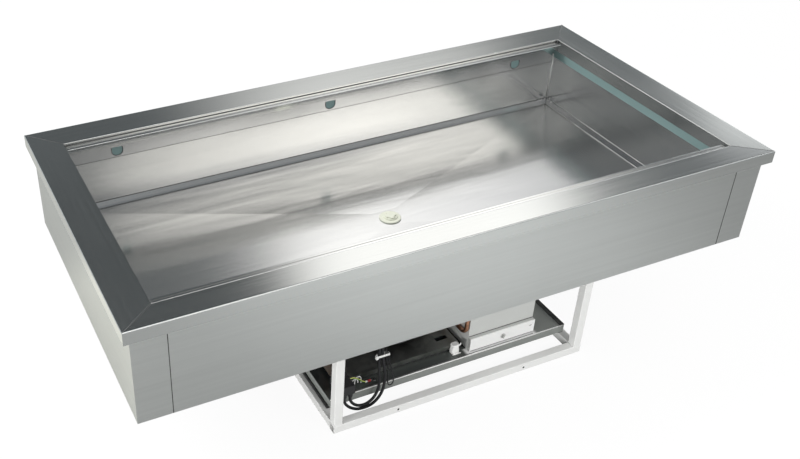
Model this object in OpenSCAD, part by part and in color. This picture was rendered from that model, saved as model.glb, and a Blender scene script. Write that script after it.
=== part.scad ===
// Refrigerated drop-in well: a rimmed stainless tank in a foamed casing, with
// its condensing unit on a tray in a white tube frame hung below.
// The part stands on the frame. X runs along the well, the front is -Y.

/* [Rim] */
// Length of the rim over its outer edges
rim_len = 1400; // [1200:10:1800]
// Depth of the rim from front to rear
rim_dep = 709; // [640:1:800]
// Height from the frame's underside to the top of the rim
overall_h = 495; // [470:1:560]
// Width of the left and right rim sections
rim_side_w = 67.5; // [50:0.5:90]
// Width of the front rim section
rim_front_w = 54.5; // [40:0.5:80]
// Width of the rear rim section
rim_rear_w = 72.5; // [50:0.5:90]
// Depth of the turned-down outer edge
rim_drop = 27; // [15:1:40]
// Depth of the lip that turns down into the opening
lip_drop = 30; // [20:1:40]
// Thickness of the rim sheet
rim_t = 1.5; // [1:0.1:2]
// Outer radius of the bend along the rim's outer edge
rim_bend_r = 2.5; // [2:0.1:4]

/* [Support rails] */
// How far a support rail stands in from the rim lip
rail_w = 20; // [12:1:30]
// How far the rail's top lies below the rim's top
rail_step = 6; // [3:0.5:12]
// Height of the rail's rounded nose
rail_nose_h = 6.6; // [4:0.1:10]
// Thickness of the rail section
rail_t = 2; // [1.5:0.1:3]
// Dark gap between each rail end and the side lip
rail_end_gap = 4; // [2:0.5:8]
// Width of the groove along the rail's top
rail_groove_w = 2; // [1:0.1:3]
// Depth of that groove
rail_groove_d = 0.8; // [0.4:0.1:1.2]

/* [Tank] */
// Distance of the front and rear tank walls behind the rim lip
wall_setback = 9.5; // [6:0.5:14]
// Depth from the rim's top to the upper edge of the floor band
wall_depth = 168; // [120:1:180]
// Height of the sloped band round the floor
band_h = 10; // [6:1:14]
// Inward run of the sloped band
band_run = 10; // [6:1:20]
// Fall of the floor from the band to the drain
floor_fall = 6; // [3:1:10]
// Thickness of the tank sheet
tank_t = 1.2; // [1:0.1:2]
// Height of the thermal break seen between side lip and tank
break_h = 20; // [14:1:28]
// Thickness of the thermal break
break_t = 10; // [6:1:14]
// Depth of the thermal break below the rim's top
break_depth = 64; // [58:1:80]
// Distance from the middle notch to each outer notch
notch_pitch = 517; // [400:1:560]
// Radius of the half-round notches in the rear wall
notch_r = 12.5; // [8:0.5:16]
// Depth of the notches' flat top below the rim's top
notch_top = 39.5; // [34:0.5:46]
// Height of a notch from its flat top to its lowest point
notch_h = 20; // [14:0.5:22]

/* [Evaporator] */
// Outer diameter of the evaporator tube
coil_d = 9.5; // [8:0.5:12]
// Number of turns round the tank
coil_turns = 4; // [3:1:4]
// Drop from one turn to the next
coil_pitch = 24; // [18:1:26]
// Depth of the first turn below the rim's top
coil_top = 80; // [76:1:84]
// Bend radius at the tank corners
coil_bend = 16; // [14:1:20]
// Length over which the tube steps down to the next turn
coil_step = 120; // [80:5:180]
// Bend radius of the tube's two tails
tail_bend = 12.5; // [10:0.5:13]

/* [Casing] */
// Overhang of the rim past the casing
overhang = 13; // [8:1:20]
// Height of the casing from the rim's top
casing_h = 221; // [214:1:240]
// Thickness of the casing sheet
casing_t = 1.2; // [0.8:0.1:2]
// Width of the end panels' returns on front and rear
return_w = 66; // [40:1:120]
// Open seam between panels
seam = 1; // [0.6:0.1:2]
// Width of the inward flange along the casing's lower edge
foot_flange = 12; // [8:1:13]

/* [Drain] */
// Outer diameter of the drain flange
drain_flange_d = 48; // [42:1:60]
// Thickness of the drain flange
drain_flange_t = 3; // [2:0.5:4]
// Outer diameter of the drain's threaded tail
drain_tail_d = 33.2; // [30:0.1:36]
// Outer diameter of the spigot at the tail's end
drain_spigot_d = 32; // [30:0.1:32.4]
// Length of that spigot
drain_spigot_len = 20; // [12:1:20]
// Bore of the drain
drain_bore = 26; // [22:0.5:28]
// Length of the tail below the flange
drain_tail_len = 66; // [52:1:68]
// Across-flats width of the lock nut
drain_nut_af = 46; // [42:1:50]
// Height of the lock nut
drain_nut_h = 9; // [6:1:12]
// Diameter of the strainer plug's cap
plug_cap_d = 24.5; // [20:0.5:25.5]
// Radial clearance of the plug in its bore
plug_clear = 0.06; // [0.03:0.01:0.1]
// Lift of the strainer plug when it is pulled out
plug_lift = 60; // [30:5:100]

/* [Frame] */
// Width of the frame along X
frame_w = 628; // [600:1:700]
// Depth of the frame along Y
frame_d = 541; // [520:1:580]
// Offset of the frame's middle from the rim's middle
frame_shift = 54; // [0:1:60]
// Side of the square tube
tube = 20; // [18:1:25]
// Wall of the square tube
tube_wall = 1.5; // [1:0.1:2.5]
// Corner radius of the square tube
tube_r = 1.8; // [1:0.1:3]
// Distance between the two holes in the front base rail
front_hole_pitch = 320; // [200:5:420]
// Diameter of those holes
front_hole_d = 5.5; // [4:0.1:8]
// Height of those holes above the frame's underside
front_hole_z = 9; // [7:0.5:12]
// Distance from the frame's ends to the bolts that hold it
bolt_in = 90; // [60:5:140]
// Diameter of the bolts that hold the frame to the casing
frame_bolt_d = 6; // [5:1:8]

/* [Tray] */
// Overlap of the tray on each base rail
tray_lap = 6; // [4:1:9]
// Gap between the tray and the frame's front and rear tubes
tray_gap = 28.5; // [20:0.5:40]
// Depth of the tray's turned-down lip
tray_lip = 20; // [12:1:26]
// Thickness of the tray sheet
tray_t = 1.5; // [1:0.1:2]
// Height of the rubber strips under the tray
strip_h = 8; // [5:1:12]
// Width of the rubber strips
strip_w = 12; // [8:1:14]
// Width of the black strip along the tray's right edge
edge_w = 11; // [8:1:14]
// Thickness of that strip
edge_t = 2; // [1:0.5:4]

/* [Condensing unit] */
// Radius of the compressor shell
shell_r = 80; // [70:1:84]
// Clearance between the compressor and the drain above it
shell_gap = 2.5; // [2:0.5:20]
// Corner radius of the shell's crown
shell_crown = 32; // [24:1:50]
// Height of the base plate's top above the tray
base_lift = 12; // [10:1:18]
// Thickness of the base plate
base_t = 2; // [1.5:0.1:3]
// Length of the base plate along X
plate_len = 310; // [290:5:320]
// Length of the slots at its right end
plate_slot = 30; // [20:1:40]
// Width of those slots
plate_slot_w = 12; // [8:1:14]
// Width of the compressor's terminal cover
cover_w = 50; // [40:1:54]
// Height of the compressor's terminal cover
cover_h = 44; // [36:1:48]
// How far that cover stands out from the shell
cover_out = 27; // [22:1:28]
// Height of the rubber grommets
grommet_h = 12; // [8:1:16]
// Number of passes of the condenser tube
passes = 7; // [5:2:7]
// Clearance between the condenser and the casing
cond_gap = 54; // [45:1:70]
// Outer diameter of the condenser tube
cond_tube_d = 8; // [6:0.5:10]
// Number of condenser fins
fins = 36; // [20:1:44]
// Thickness of a condenser fin
fin_t = 0.6; // [0.4:0.1:1]
// Depth of the condenser along the air flow
cond_depth = 36; // [30:1:40]
// Margin from the fan blades to the condenser's upper edge
fan_margin = 6; // [6:0.5:20]
// Number of fan blades
blades = 5; // [3:1:7]
// Distance from the shroud to the middle of the blades
fan_set = 24; // [20:1:26]
// Distance from the middle of the blades to the motor's strap
strap_set = 22; // [18:1:24]
// How far the strap reaches past the blades
strap_over = 12; // [8:1:16]
// Radius of the fan motor
motor_r = 33; // [28:1:36]
// Radius of the fan shaft
shaft_r = 4; // [3:0.5:5]
// Radial running clearance of the fan shaft
shaft_clear = 0.05; // [0.02:0.01:0.1]
// Outer diameter of the suction pipe
suction_d = 9.5; // [8:0.5:11]
// Outer diameter of the discharge and liquid pipes
liquid_d = 6.4; // [5:0.1:8]

/* [Control box] */
// Width of the control box
box_w = 170; // [150:1:180]
// Depth of the control box
box_d = 112; // [90:1:120]
// Height of the control box
box_h = 150; // [120:1:165]
// Height of the bright lower strip of its cover
cover_strip_h = 34; // [26:1:40]
// Width of the relay in the box
relay_w = 45; // [36:1:50]
// Depth of that relay
relay_d = 52; // [40:1:60]
// Height of that relay
relay_h = 60; // [50:1:70]
// Step of the strip in front of the cover's upper part
cover_step = 10; // [8:1:14]
// Thickness of the box and cover sheet
box_t = 1.2; // [0.8:0.1:2]
// Travel of the cover when it is drawn off
cover_travel = 40; // [20:1:45]
// Radius of the turn fastener's pin
pin_r = 2.5; // [2:0.1:3]
// Radial clearance of that pin
pin_clear = 0.05; // [0.02:0.01:0.1]

/* [Cables] */
// Diameter of the two black cables
cable_d = 6.5; // [6:0.5:8]
// Diameter of the thin lead
thin_d = 2.6; // [2:0.2:3]
// Diameter of the earth wire
earth_d = 2.8; // [2:0.2:3]

/* [Hidden] */
$fn = 48;
eps = 0.01;
rim_z = overall_h;
rx = rim_len / 2;
ry = rim_dep / 2;
open_x = rx - rim_side_w;
open_front = -ry + rim_front_w;
open_rear = ry - rim_rear_w;
// Casing, outer faces
case_x = rx - overhang;
case_y = ry - overhang;
case_z = rim_z - casing_h;
under_rim = rim_z - rim_t;
// Tank, inner faces
tank_x = open_x + rim_t;
tank_front = open_front - wall_setback;
tank_rear = open_rear + wall_setback;
tank_mid = (tank_front + tank_rear) / 2;
side_top = rim_z - lip_drop - break_h;
band_z = rim_z - wall_depth;
floor_z = band_z - band_h;
drain_z = floor_z - floor_fall;
sump = 60;
// Drain
drain_nut_top = case_z;
gasket_t = 1.5;
gasket_rim = 6;
cut_clear = 0.4;
// Evaporator tube centre lines
coil_r = coil_d / 2;
coil_gap = 0.2;
// The bends pass outside the tank's square corners, so the runs stand off
coil_off = (coil_r + coil_gap + coil_bend * (sqrt(2) - 1)) / sqrt(2);
coil_x = tank_x + tank_t + coil_off;
coil_front = tank_front - tank_t - coil_off;
coil_rear = tank_rear + tank_t + coil_off;
coil_z = rim_z - coil_top;
coil_low = coil_z - (coil_turns - 1) * coil_pitch;
coil_step_x = coil_step / 2;
tail_y = coil_rear + 2 * tail_bend;
low_bend = 13;
low_z = case_z + 2 * casing_t + low_bend + 1;
joint_y = tail_y - low_bend - 25;
drop_x = -coil_step_x + 30;
// Frame
fx0 = frame_shift - frame_w / 2;
fx1 = frame_shift + frame_w / 2;
fy0 = -frame_d / 2;
fy1 = frame_d / 2;
bolt_clear = 0.3;
bolt_x = frame_w / 2 - bolt_in;
bolt_head_h = 4;
bolt_grip = 6;
// Tray
tray_x0 = fx0 + tube - tray_lap;
tray_x1 = fx1 - tube + tray_lap;
tray_y0 = fy0 + tube + tray_gap;
tray_z = tube + strip_h + tray_lip;
// Base plate of the condensing unit
base_x0 = fx0 + tube + 22;
base_x1 = base_x0 + plate_len;
base_y0 = tray_y0 + 34;
base_y1 = -tray_y0 - 26;
base_z = tray_z + base_lift;
base_lip_t = 2;
// Condenser
cond_x0 = base_x0 + 4;
cond_x1 = cond_x0 + cond_depth;
cond_xm = (cond_x0 + cond_x1) / 2;
cond_y0 = base_y0 + 83;
cond_y1 = base_y1 - 21;
cond_len = cond_y1 - cond_y0;
cond_z0 = base_z;
cond_margin = 14;
pass_z0 = cond_z0 + cond_margin;
cond_z1 = case_z - cond_gap;
pass_z1 = cond_z1 - cond_margin;
pass_pitch = (pass_z1 - pass_z0) / (passes - 1);
plate_t = 1.5;
tube_stub = 12;
// Fan, on an axis along X
fan_y = cond_y0 + cond_len / 2;
fan_z = (cond_z0 + cond_z1) / 2;
shroud_x0 = cond_x1;
shroud_t = 1.5;
shroud_lip = 12;
fan_r = (cond_z1 - cond_z0) / 2 - fan_margin;
fan_x = shroud_x0 + fan_set;
blade_w = 22;
hub_r = 20;
strap_x = fan_x + strap_set;
strap_t = 2;
strap_w = 24;
strap_half = fan_r + strap_over;
motor_x0 = strap_x + strap_t;
motor_len = 40;
// Compressor, clear of the fan's motor and below the drain
comp_off = 113;
cover_up = 20;
comp_x = base_x1 - 127;
comp_y = fan_y - comp_off;
comp_z = base_z + grommet_h;
cradle_x = 178;
cradle_y = 112;
cradle_t = 2.5;
foot_x = 76;
foot_y = 44;
stud_d = 8;
grommet_d = 24;
shell_z = comp_z + cradle_t;
shell_h = drain_z - drain_tail_len - shell_gap - shell_z;
shell_foot = 12;
foot_head_h = 5;
// Pipes
suction_r = suction_d / 2;
liquid_r = liquid_d / 2;
pipe_bend = 20;
suction_x = base_x1 + 6;
suction_y = tray_y0 + 22;
suction_run_z = tray_z + 44;
discharge_y = cond_y0 - 26;
liquid_y = cond_y1 + 26;
riser_x = base_x1 + 118;
drier_in = 72;
drier_x0 = base_x1 - drier_in;
drier_len = 110;
drier_r = 9.5;
tail_clear = 1;
// Control box
box_x0 = base_x1 + 12;
box_x1 = box_x0 + box_w;
box_y0 = tray_y0 + 20;
box_y1 = box_y0 + box_d;
box_z0 = tray_z;
box_z1 = box_z0 + box_h;
cover_gap = 0.3;
cover_y = box_y0 - cover_gap;
strip_y = cover_y - cover_step;
strip_z0 = box_z0 + 2;
strip_z1 = strip_z0 + cover_strip_h;
cover_lap = 14;
pin_x = (box_x0 + box_x1) / 2;
pin_z = (strip_z0 + strip_z1) / 2;
lip_in = 40;
cam_h = 16;
cam_w = 5;
slot_clear = 1.5;
// Terminal box at the tray's front left corner
term_x0 = fx0 + tube + 4;
term_w = 36;
term_y0 = tray_y0 - 24;
term_y1 = tray_y0 + 22;
term_up = 24;
term_z0 = tray_z + term_up;
term_h = 23;
gland_d = 11;
gland_h = 6;
// Cable routes, chosen by hand. Each pair is the distance from the terminal
// box's left side and the height. Above the loops the heights stretch with
// the room below the casing.
cable_y = tray_y0 - 14;
loop_top = 60;
hang_h = 214;
function hung(z) =
    z <= loop_top ? z : loop_top + (z - loop_top) * (case_z - loop_top) / hang_h;
function laid(pairs) = [for (p = pairs) [term_x0 + p[0], cable_y, hung(p[1])]];
outer_route = laid([
    [104, 269], [104, 254], [104, 236], [103, 216], [102, 196], [101, 176], [101, 156],
    [103, 138], [107, 118], [110, 98], [112, 78], [111, 60], [108, 44], [101, 29], [90, 17],
    [77, 11], [64, 10], [50, 12], [37, 19], [27, 28], [20, 38], [16, 49], [16, 59]
]);
inner_route = laid([
    [88, 269], [88, 254], [88, 236], [89, 216], [91, 196], [93, 176], [94, 156],
    [94, 138], [95, 118], [97, 98], [98, 78], [98, 60], [95, 46], [88, 32], [78, 23],
    [66, 19], [53, 21], [42, 28], [34, 38], [30, 49], [30, 59]
]);
thin_route = laid([
    [119, 270], [119, 260], [118, 240], [116, 220], [113, 200], [110, 180], [109, 160],
    [111, 140], [115, 120], [118, 100], [119, 80], [119, 65], [121, 56], [126, 52], [131, 55],
    [133, 63], [131, 77], [127, 93], [123, 110], [118, 128], [115, 142], [114, 152]
]);
// The earth wire runs from the terminal box's side to its lug on the tray
earth_steps = [
    [0, 0, 36], [3, 0, 36], [6, 0, 36], [10, 0.5, 35], [13, 1, 34], [17, 1.5, 31],
    [20, 2, 29], [24, 3, 25], [27, 4, 22], [31, 5, 18], [34, 6, 14], [38, 7, 10],
    [41, 8, 7], [45, 8.5, 4], [48, 9, 3], [52, 9, 2], [55, 9, 2]
];
earth_route = [
    for (p = earth_steps) [term_x0 + term_w + p[0], tray_y0 + 8 + p[1], tray_z + p[2]]
];
tie_z = hung(146);
tie_room = 1.75;
tie_h = 5;
lug_screw_d = 4;
sleeve_d = 4;

steel = "lightgray";
zinc = "darkgray";
copper = "peru";
black = [0.12, 0.12, 0.13];
white = [0.93, 0.93, 0.91];

// A box from its low corner to its high corner
module block(lo, hi) {
    translate(lo) cube(hi - lo);
}

// A solid between two axis-aligned rectangles at two heights
module frustum(lo0, hi0, z0, lo1, hi1, z1) {
    polyhedron(
        points = [
            [lo0[0], lo0[1], z0], [hi0[0], lo0[1], z0], [hi0[0], hi0[1], z0], [lo0[0], hi0[1], z0],
            [lo1[0], lo1[1], z1], [hi1[0], lo1[1], z1], [hi1[0], hi1[1], z1], [lo1[0], hi1[1], z1]
        ],
        faces = [
            [0, 1, 2, 3], [7, 6, 5, 4], [0, 4, 5, 1], [1, 5, 6, 2], [2, 6, 7, 3], [3, 7, 4, 0]
        ]
    );
}

// A flat rounded rectangle made of squares and circles
module rounded(w, h, r) {
    translate([r, 0]) square([w - 2 * r, h]);
    translate([0, r]) square([w, h - 2 * r]);
    for (x = [r, w - r], y = [r, h - r]) translate([x, y]) circle(r);
}

// A cylinder along X or Y from a start point
module rod_x(p, len, r) {
    translate(p) rotate([0, 90, 0]) cylinder(h = len, r = r);
}
module rod_y(p, len, r) {
    translate(p) rotate([-90, 0, 0]) cylinder(h = len, r = r);
}

// A quarter bend round a centre, turned in place
module elbow(c, turn, bend, r) {
    translate(c) rotate(turn) rotate_extrude(angle = 90) translate([bend, 0]) circle(r);
}

// A tube swept along a list of points. Each ring is square to the route,
// and its start direction is carried on from the ring before it.
function unit(v) = v / norm(v);
function along(p, i) =
    i == 0 ? unit(p[1] - p[0])
    : i == len(p) - 1 ? unit(p[i] - p[i - 1])
    : unit(unit(p[i + 1] - p[i]) + unit(p[i] - p[i - 1]));
function first_side(t) = unit(cross(abs(t[1]) < 0.9 ? [0, 1, 0] : [0, 0, 1], t));
function carried(s, t) = unit(s - (s * t) * t);
function sides(p) = [
    for (i = 0, s = first_side(along(p, 0));
         i < len(p);
         i = i + 1, s = i < len(p) ? carried(s, along(p, i)) : s) s
];
function ring(c, t, s, r, n) = [
    for (k = [0 : n - 1]) c + r * (cos(360 * k / n) * s + sin(360 * k / n) * cross(t, s))
];
module cable(p, d, n) {
    m = len(p);
    side = sides(p);
    points = [for (i = [0 : m - 1]) each ring(p[i], along(p, i), side[i], d / 2, n)];
    walls = [
        for (i = [0 : m - 2], k = [0 : n - 1])
            each let (a = i * n + k, b = i * n + (k + 1) % n) [[a, a + n, b], [b, a + n, b + n]]
    ];
    start = [for (k = [0 : n - 1]) k];
    end = [for (k = [n - 1 : -1 : 0]) (m - 1) * n + k];
    polyhedron(points = points, faces = concat([start], walls, [end]));
}

// A quarter bend's points round a centre, from the side u to the side v
function bend_points(c, u, v, r, from = 0) = [
    for (i = [from : 4]) c + r * (cos(22.5 * i) * u + sin(22.5 * i) * v)
];

// Rim section: top, outer turn-down with return, inner lip.
// It is drawn with the outer edge at 0 and the opening at w.
module rim_profile(w) {
    difference() {
        union() {
            translate([rim_bend_r, -rim_bend_r]) circle(rim_bend_r);
            translate([rim_bend_r, -rim_t]) square([w - rim_bend_r, rim_t]);
            translate([0, -rim_drop]) square([rim_t, rim_drop - rim_bend_r]);
        }
        translate([rim_bend_r, -rim_bend_r]) circle(rim_bend_r - rim_t);
        translate([rim_t, -rim_bend_r - rim_bend_r]) square([rim_bend_r, rim_bend_r]);
        translate([rim_bend_r, -rim_t - rim_bend_r * 2]) square([rim_bend_r, rim_bend_r * 2]);
    }
    translate([0, -rim_drop]) square([overhang, rim_t]);
    translate([w - rim_t, -lip_drop]) square([rim_t, lip_drop]);
}

// The wedge of plan that one mitred rim section fills, from the outer
// corners a and b to the opening's corners c and d
module mitre(a, b, c, d) {
    translate([0, 0, rim_z - lip_drop - 1]) linear_extrude(lip_drop + 2) polygon([a, b, c, d]);
}

out_fl = [-rx, -ry];
out_fr = [rx, -ry];
out_rr = [rx, ry];
out_rl = [-rx, ry];
in_fl = [-open_x, open_front];
in_fr = [open_x, open_front];
in_rr = [open_x, open_rear];
in_rl = [-open_x, open_rear];

module rim_front() {
    color(steel) intersection() {
        translate([-rx, -ry, rim_z]) rotate([90, 0, 90]) linear_extrude(rim_len)
            rim_profile(rim_front_w);
        mitre(out_fl, out_fr, in_fr, in_fl);
    }
}

module rim_rear() {
    color(steel) intersection() {
        translate([rx, ry, rim_z]) rotate([90, 0, -90]) linear_extrude(rim_len)
            rim_profile(rim_rear_w);
        mitre(out_rr, out_rl, in_rl, in_rr);
    }
}

module rim_left() {
    color(steel) intersection() {
        translate([-rx, ry, rim_z]) rotate([90, 0, 0]) linear_extrude(rim_dep)
            rim_profile(rim_side_w);
        mitre(out_rl, out_fl, in_fl, in_rl);
    }
}

module rim_right() {
    color(steel) intersection() {
        translate([rx, -ry, rim_z]) rotate([90, 0, 180]) linear_extrude(rim_dep)
            rim_profile(rim_side_w);
        mitre(out_fr, out_rr, in_rr, in_fr);
    }
}

// Support rail section, drawn outward from the rim lip at 0 into the opening
module rail_profile() {
    nose_r = rail_t / 2;
    difference() {
        union() {
            translate([0, -rail_step - rail_t]) square([rail_w - nose_r, rail_t]);
            translate([0, -lip_drop]) square([rail_t, lip_drop - rail_step]);
            translate([rail_w - nose_r, -rail_step - nose_r]) circle(nose_r);
            translate([rail_w - rail_t, -rail_step - rail_nose_h + nose_r])
                square([rail_t, rail_nose_h - rail_t]);
            translate([rail_w - nose_r, -rail_step - rail_nose_h + nose_r]) circle(nose_r);
        }
        translate([rail_w * 0.6, -rail_step - rail_groove_d])
            square([rail_groove_w, rail_groove_d + 1]);
    }
}

module front_support_rail() {
    color(steel) translate([-open_x + rail_end_gap, open_front, rim_z]) rotate([90, 0, 90])
        linear_extrude(2 * (open_x - rail_end_gap)) rail_profile();
}

module rear_support_rail() {
    color(steel) translate([open_x - rail_end_gap, open_rear, rim_z]) rotate([90, 0, -90])
        linear_extrude(2 * (open_x - rail_end_gap)) rail_profile();
}

// Ring behind the lip and the tank walls, with a seen step on the two sides
module thermal_break() {
    top = under_rim;
    low = rim_z - break_depth;
    x = tank_x + tank_t;
    y0 = tank_front - tank_t;
    y1 = tank_rear + tank_t;
    color("cadetblue") {
        difference() {
            block([-x - break_t, y0 - break_t, low], [x + break_t, y1 + break_t, top]);
            block([-x, y0, low - 1], [x, y1, top + 1]);
        }
        for (s = [-1, 1]) {
            lo = min(s * tank_x, s * (x + 1));
            block([lo, y0, side_top], [lo + tank_t + 1, y1, rim_z - lip_drop]);
        }
    }
}

// The tank's form grown outward by g, closed at the top by the height given
module tank_form(g, top) {
    lo = [-tank_x - g, tank_front - g];
    hi = [tank_x + g, tank_rear + g];
    run = [band_run, band_run];
    mid = [0, tank_mid];
    half = [sump / 2, sump / 2];
    block([lo[0], lo[1], band_z], [hi[0], hi[1], top]);
    frustum(lo + run, hi - run, floor_z - g, lo, hi, band_z);
    frustum(mid - half, mid + half, drain_z - g, lo + run, hi - run, floor_z - g);
}

// Side walls stop below the seen thermal break, front and rear walls go on up
module tank() {
    wall_top = rim_z - rail_step - rail_nose_h - 2;
    color(steel) difference() {
        tank_form(tank_t, wall_top);
        tank_form(0, wall_top + 1);
        for (s = [-1, 1])
            translate([s * (tank_x + tank_t) - tank_t - 0.5, tank_front - tank_t - 1, side_top])
                cube([2 * tank_t + 1, tank_rear - tank_front + 2 * tank_t + 2, wall_top]);
        translate([0, tank_mid, drain_z - 5]) cylinder(h = 10, d = drain_tail_d + 2 * cut_clear);
        for (i = [-1 : 1]) notch(i * notch_pitch);
    }
}

module notch(x) {
    zc = rim_z - notch_top - notch_h + notch_r;
    intersection() {
        rod_y([x, tank_rear - 1, zc], tank_t + 2, notch_r);
        block([x - notch_r, tank_rear - 1, zc - notch_r],
              [x + notch_r, tank_rear + tank_t + 1, rim_z - notch_top]);
    }
}

// One tube wound round the tank, stepping down along the rear wall, with a
// tail at each end that runs down behind the turns and forward below the tank
function turn_points(z) = let (
    x = coil_x - coil_bend,
    f = coil_front + coil_bend,
    b = coil_rear - coil_bend
) concat(
    bend_points([x, b, z], [0, 1, 0], [1, 0, 0], coil_bend),
    bend_points([x, f, z], [1, 0, 0], [0, -1, 0], coil_bend),
    bend_points([-x, f, z], [0, -1, 0], [-1, 0, 0], coil_bend),
    bend_points([-x, b, z], [-1, 0, 0], [0, 1, 0], coil_bend)
);
function first_tail() = let (out_y = coil_rear + tail_bend) concat(
    [[riser_x, joint_y, low_z]],
    bend_points([riser_x, tail_y - low_bend, low_z + low_bend], [0, 0, -1], [0, 1, 0], low_bend),
    bend_points([riser_x, out_y, coil_z - tail_bend], [0, 1, 0], [0, 0, 1], tail_bend),
    bend_points([riser_x + tail_bend, out_y, coil_z], [-1, 0, 0], [0, -1, 0], tail_bend, 1)
);
function last_tail() = let (out_y = coil_rear + tail_bend) concat(
    bend_points([drop_x - tail_bend, out_y, coil_low], [0, -1, 0], [1, 0, 0], tail_bend),
    bend_points([drop_x, out_y, coil_low - tail_bend], [0, 0, 1], [0, 1, 0], tail_bend, 1),
    bend_points([drop_x + low_bend, tail_y, low_z + low_bend], [-1, 0, 0], [0, 0, -1], low_bend),
    bend_points([suction_x - low_bend, tail_y - low_bend, low_z], [0, 1, 0], [1, 0, 0], low_bend),
    [[suction_x, joint_y, low_z]]
);
function coil_route() = concat(
    first_tail(),
    [
        for (k = [0 : coil_turns - 1]) each let (z = coil_z - k * coil_pitch) concat(
            k == 0 ? [] : [[coil_step_x, coil_rear, z]],
            turn_points(z),
            k == coil_turns - 1 ? [] : [[-coil_step_x, coil_rear, z]]
        )
    ],
    last_tail()
);
module evaporator_coil() {
    color(copper) cable(coil_route(), coil_d, 12);
}

// Foam between tank and casing, with a band left free for the coil
module insulation() {
    t = casing_t;
    top = rim_z - break_depth;
    band0 = coil_low - coil_d;
    band1 = coil_z + coil_d;
    grow = tank_t + coil_off + coil_r + coil_gap;
    color("khaki") difference() {
        block([-case_x + t, -case_y + t, case_z + 2 * t], [case_x - t, case_y - t, top]);
        tank_form(tank_t, top + 1);
        block([-tank_x - grow, tank_front - grow, band0], [tank_x + grow, tank_rear + grow, band1]);
        for (x = [drop_x, riser_x])
            block([x - coil_d, tank_rear, low_z], [x + coil_d, tail_y + coil_d, band1]);
        for (x = [suction_x, riser_x])
            block([x - coil_d, suction_y - coil_d, case_z], [x + coil_d, tail_y, low_z + coil_d]);
        block([drop_x - coil_d, tail_y - coil_d, low_z - coil_d],
              [suction_x + coil_d, tail_y + coil_d, low_z + coil_d]);
        translate([0, tank_mid, case_z - 1])
            cylinder(h = drain_z - case_z, d = drain_tail_d + 2 * tail_clear);
        translate([0, tank_mid, drain_z - tank_t - gasket_t - eps])
            cylinder(h = gasket_t + 1, d = drain_flange_d + 2);
        for (p = bolt_spots()) translate([p[0], p[1], case_z]) cylinder(h = bolt_grip + 6, r = 7);
    }
}

// Front and rear panels: flat sheets with a flange turned in below
module panel_sheet(s) {
    x = case_x - return_w - seam;
    y = s * case_y;
    color(steel) {
        block([-x, min(y, y - s * casing_t), case_z], [x, max(y, y - s * casing_t), under_rim]);
        block([-x, min(y, y - s * foot_flange), case_z],
              [x, max(y, y - s * foot_flange), case_z + casing_t]);
    }
}
module front_panel() {
    panel_sheet(-1);
}
module rear_panel() {
    panel_sheet(1);
}

// End panels wrap round both corners
module end_panel(s) {
    x = s * case_x;
    xr = s * (case_x - return_w);
    xi = s * (case_x - casing_t);
    xf = s * (case_x - foot_flange);
    color(steel) {
        block([min(x, xi), -case_y, case_z], [max(x, xi), case_y, under_rim]);
        block([min(x, xf), -case_y, case_z], [max(x, xf), case_y, case_z + casing_t]);
        for (q = [-1, 1]) {
            y = q * case_y;
            block([min(x, xr), min(y, y - q * casing_t), case_z],
                  [max(x, xr), max(y, y - q * casing_t), under_rim]);
            block([min(x, xr), min(y, y - q * foot_flange), case_z],
                  [max(x, xr), max(y, y - q * foot_flange), case_z + casing_t]);
        }
    }
}
module left_end_panel() {
    end_panel(-1);
}
module right_end_panel() {
    end_panel(1);
}

function bolt_spots() = [
    for (s = [-1, 1], y = [fy0 + tube / 2, fy1 - tube / 2]) [frame_shift + s * bolt_x, y]
];

module bottom_panel() {
    color(zinc) difference() {
        block([-case_x + casing_t, -case_y + casing_t, case_z + casing_t],
              [case_x - casing_t, case_y - casing_t, case_z + 2 * casing_t]);
        translate([0, tank_mid, case_z]) cylinder(h = 10, d = drain_tail_d + 2 * cut_clear);
        for (p = bolt_spots())
            translate([p[0], p[1], case_z]) cylinder(h = 10, d = frame_bolt_d + 2 * bolt_clear);
        translate([suction_x, suction_y, case_z]) cylinder(h = 10, r = suction_r + tail_clear);
        translate([riser_x, liquid_y, case_z]) cylinder(h = 10, r = liquid_r + tail_clear);
    }
}

// Drain: flange on the sump, threaded tail, slotted strainer plug
module drain_outlet() {
    z0 = drain_z - drain_tail_len;
    color("ivory") difference() {
        union() {
            translate([0, tank_mid, drain_z]) cylinder(h = drain_flange_t - 1, d = drain_flange_d);
            translate([0, tank_mid, drain_z + drain_flange_t - 1])
                cylinder(h = 1, d1 = drain_flange_d, d2 = drain_flange_d - 3);
            translate([0, tank_mid, z0 + drain_spigot_len])
                cylinder(h = drain_tail_len - drain_spigot_len + 1, d = drain_tail_d);
            translate([0, tank_mid, z0]) cylinder(h = drain_spigot_len + 1, d = drain_spigot_d);
        }
        translate([0, tank_mid, z0 - 1]) cylinder(h = drain_tail_len + 10, d = drain_bore);
    }
}

module drain_gasket() {
    color(black) translate([0, tank_mid, drain_z - tank_t - gasket_t]) difference() {
        cylinder(h = gasket_t, d = drain_flange_d);
        translate([0, 0, -1]) cylinder(h = gasket_t + 2, d = drain_tail_d + 2 * cut_clear);
    }
}

module drain_lock_nut() {
    color("ivory") translate([0, tank_mid, drain_nut_top - drain_nut_h + casing_t])
        difference() {
            cylinder(h = drain_nut_h, d = drain_nut_af / cos(30), $fn = 6);
            translate([0, 0, -1]) cylinder(h = drain_nut_h + 2, d = drain_tail_d + 0.1);
        }
}

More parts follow.
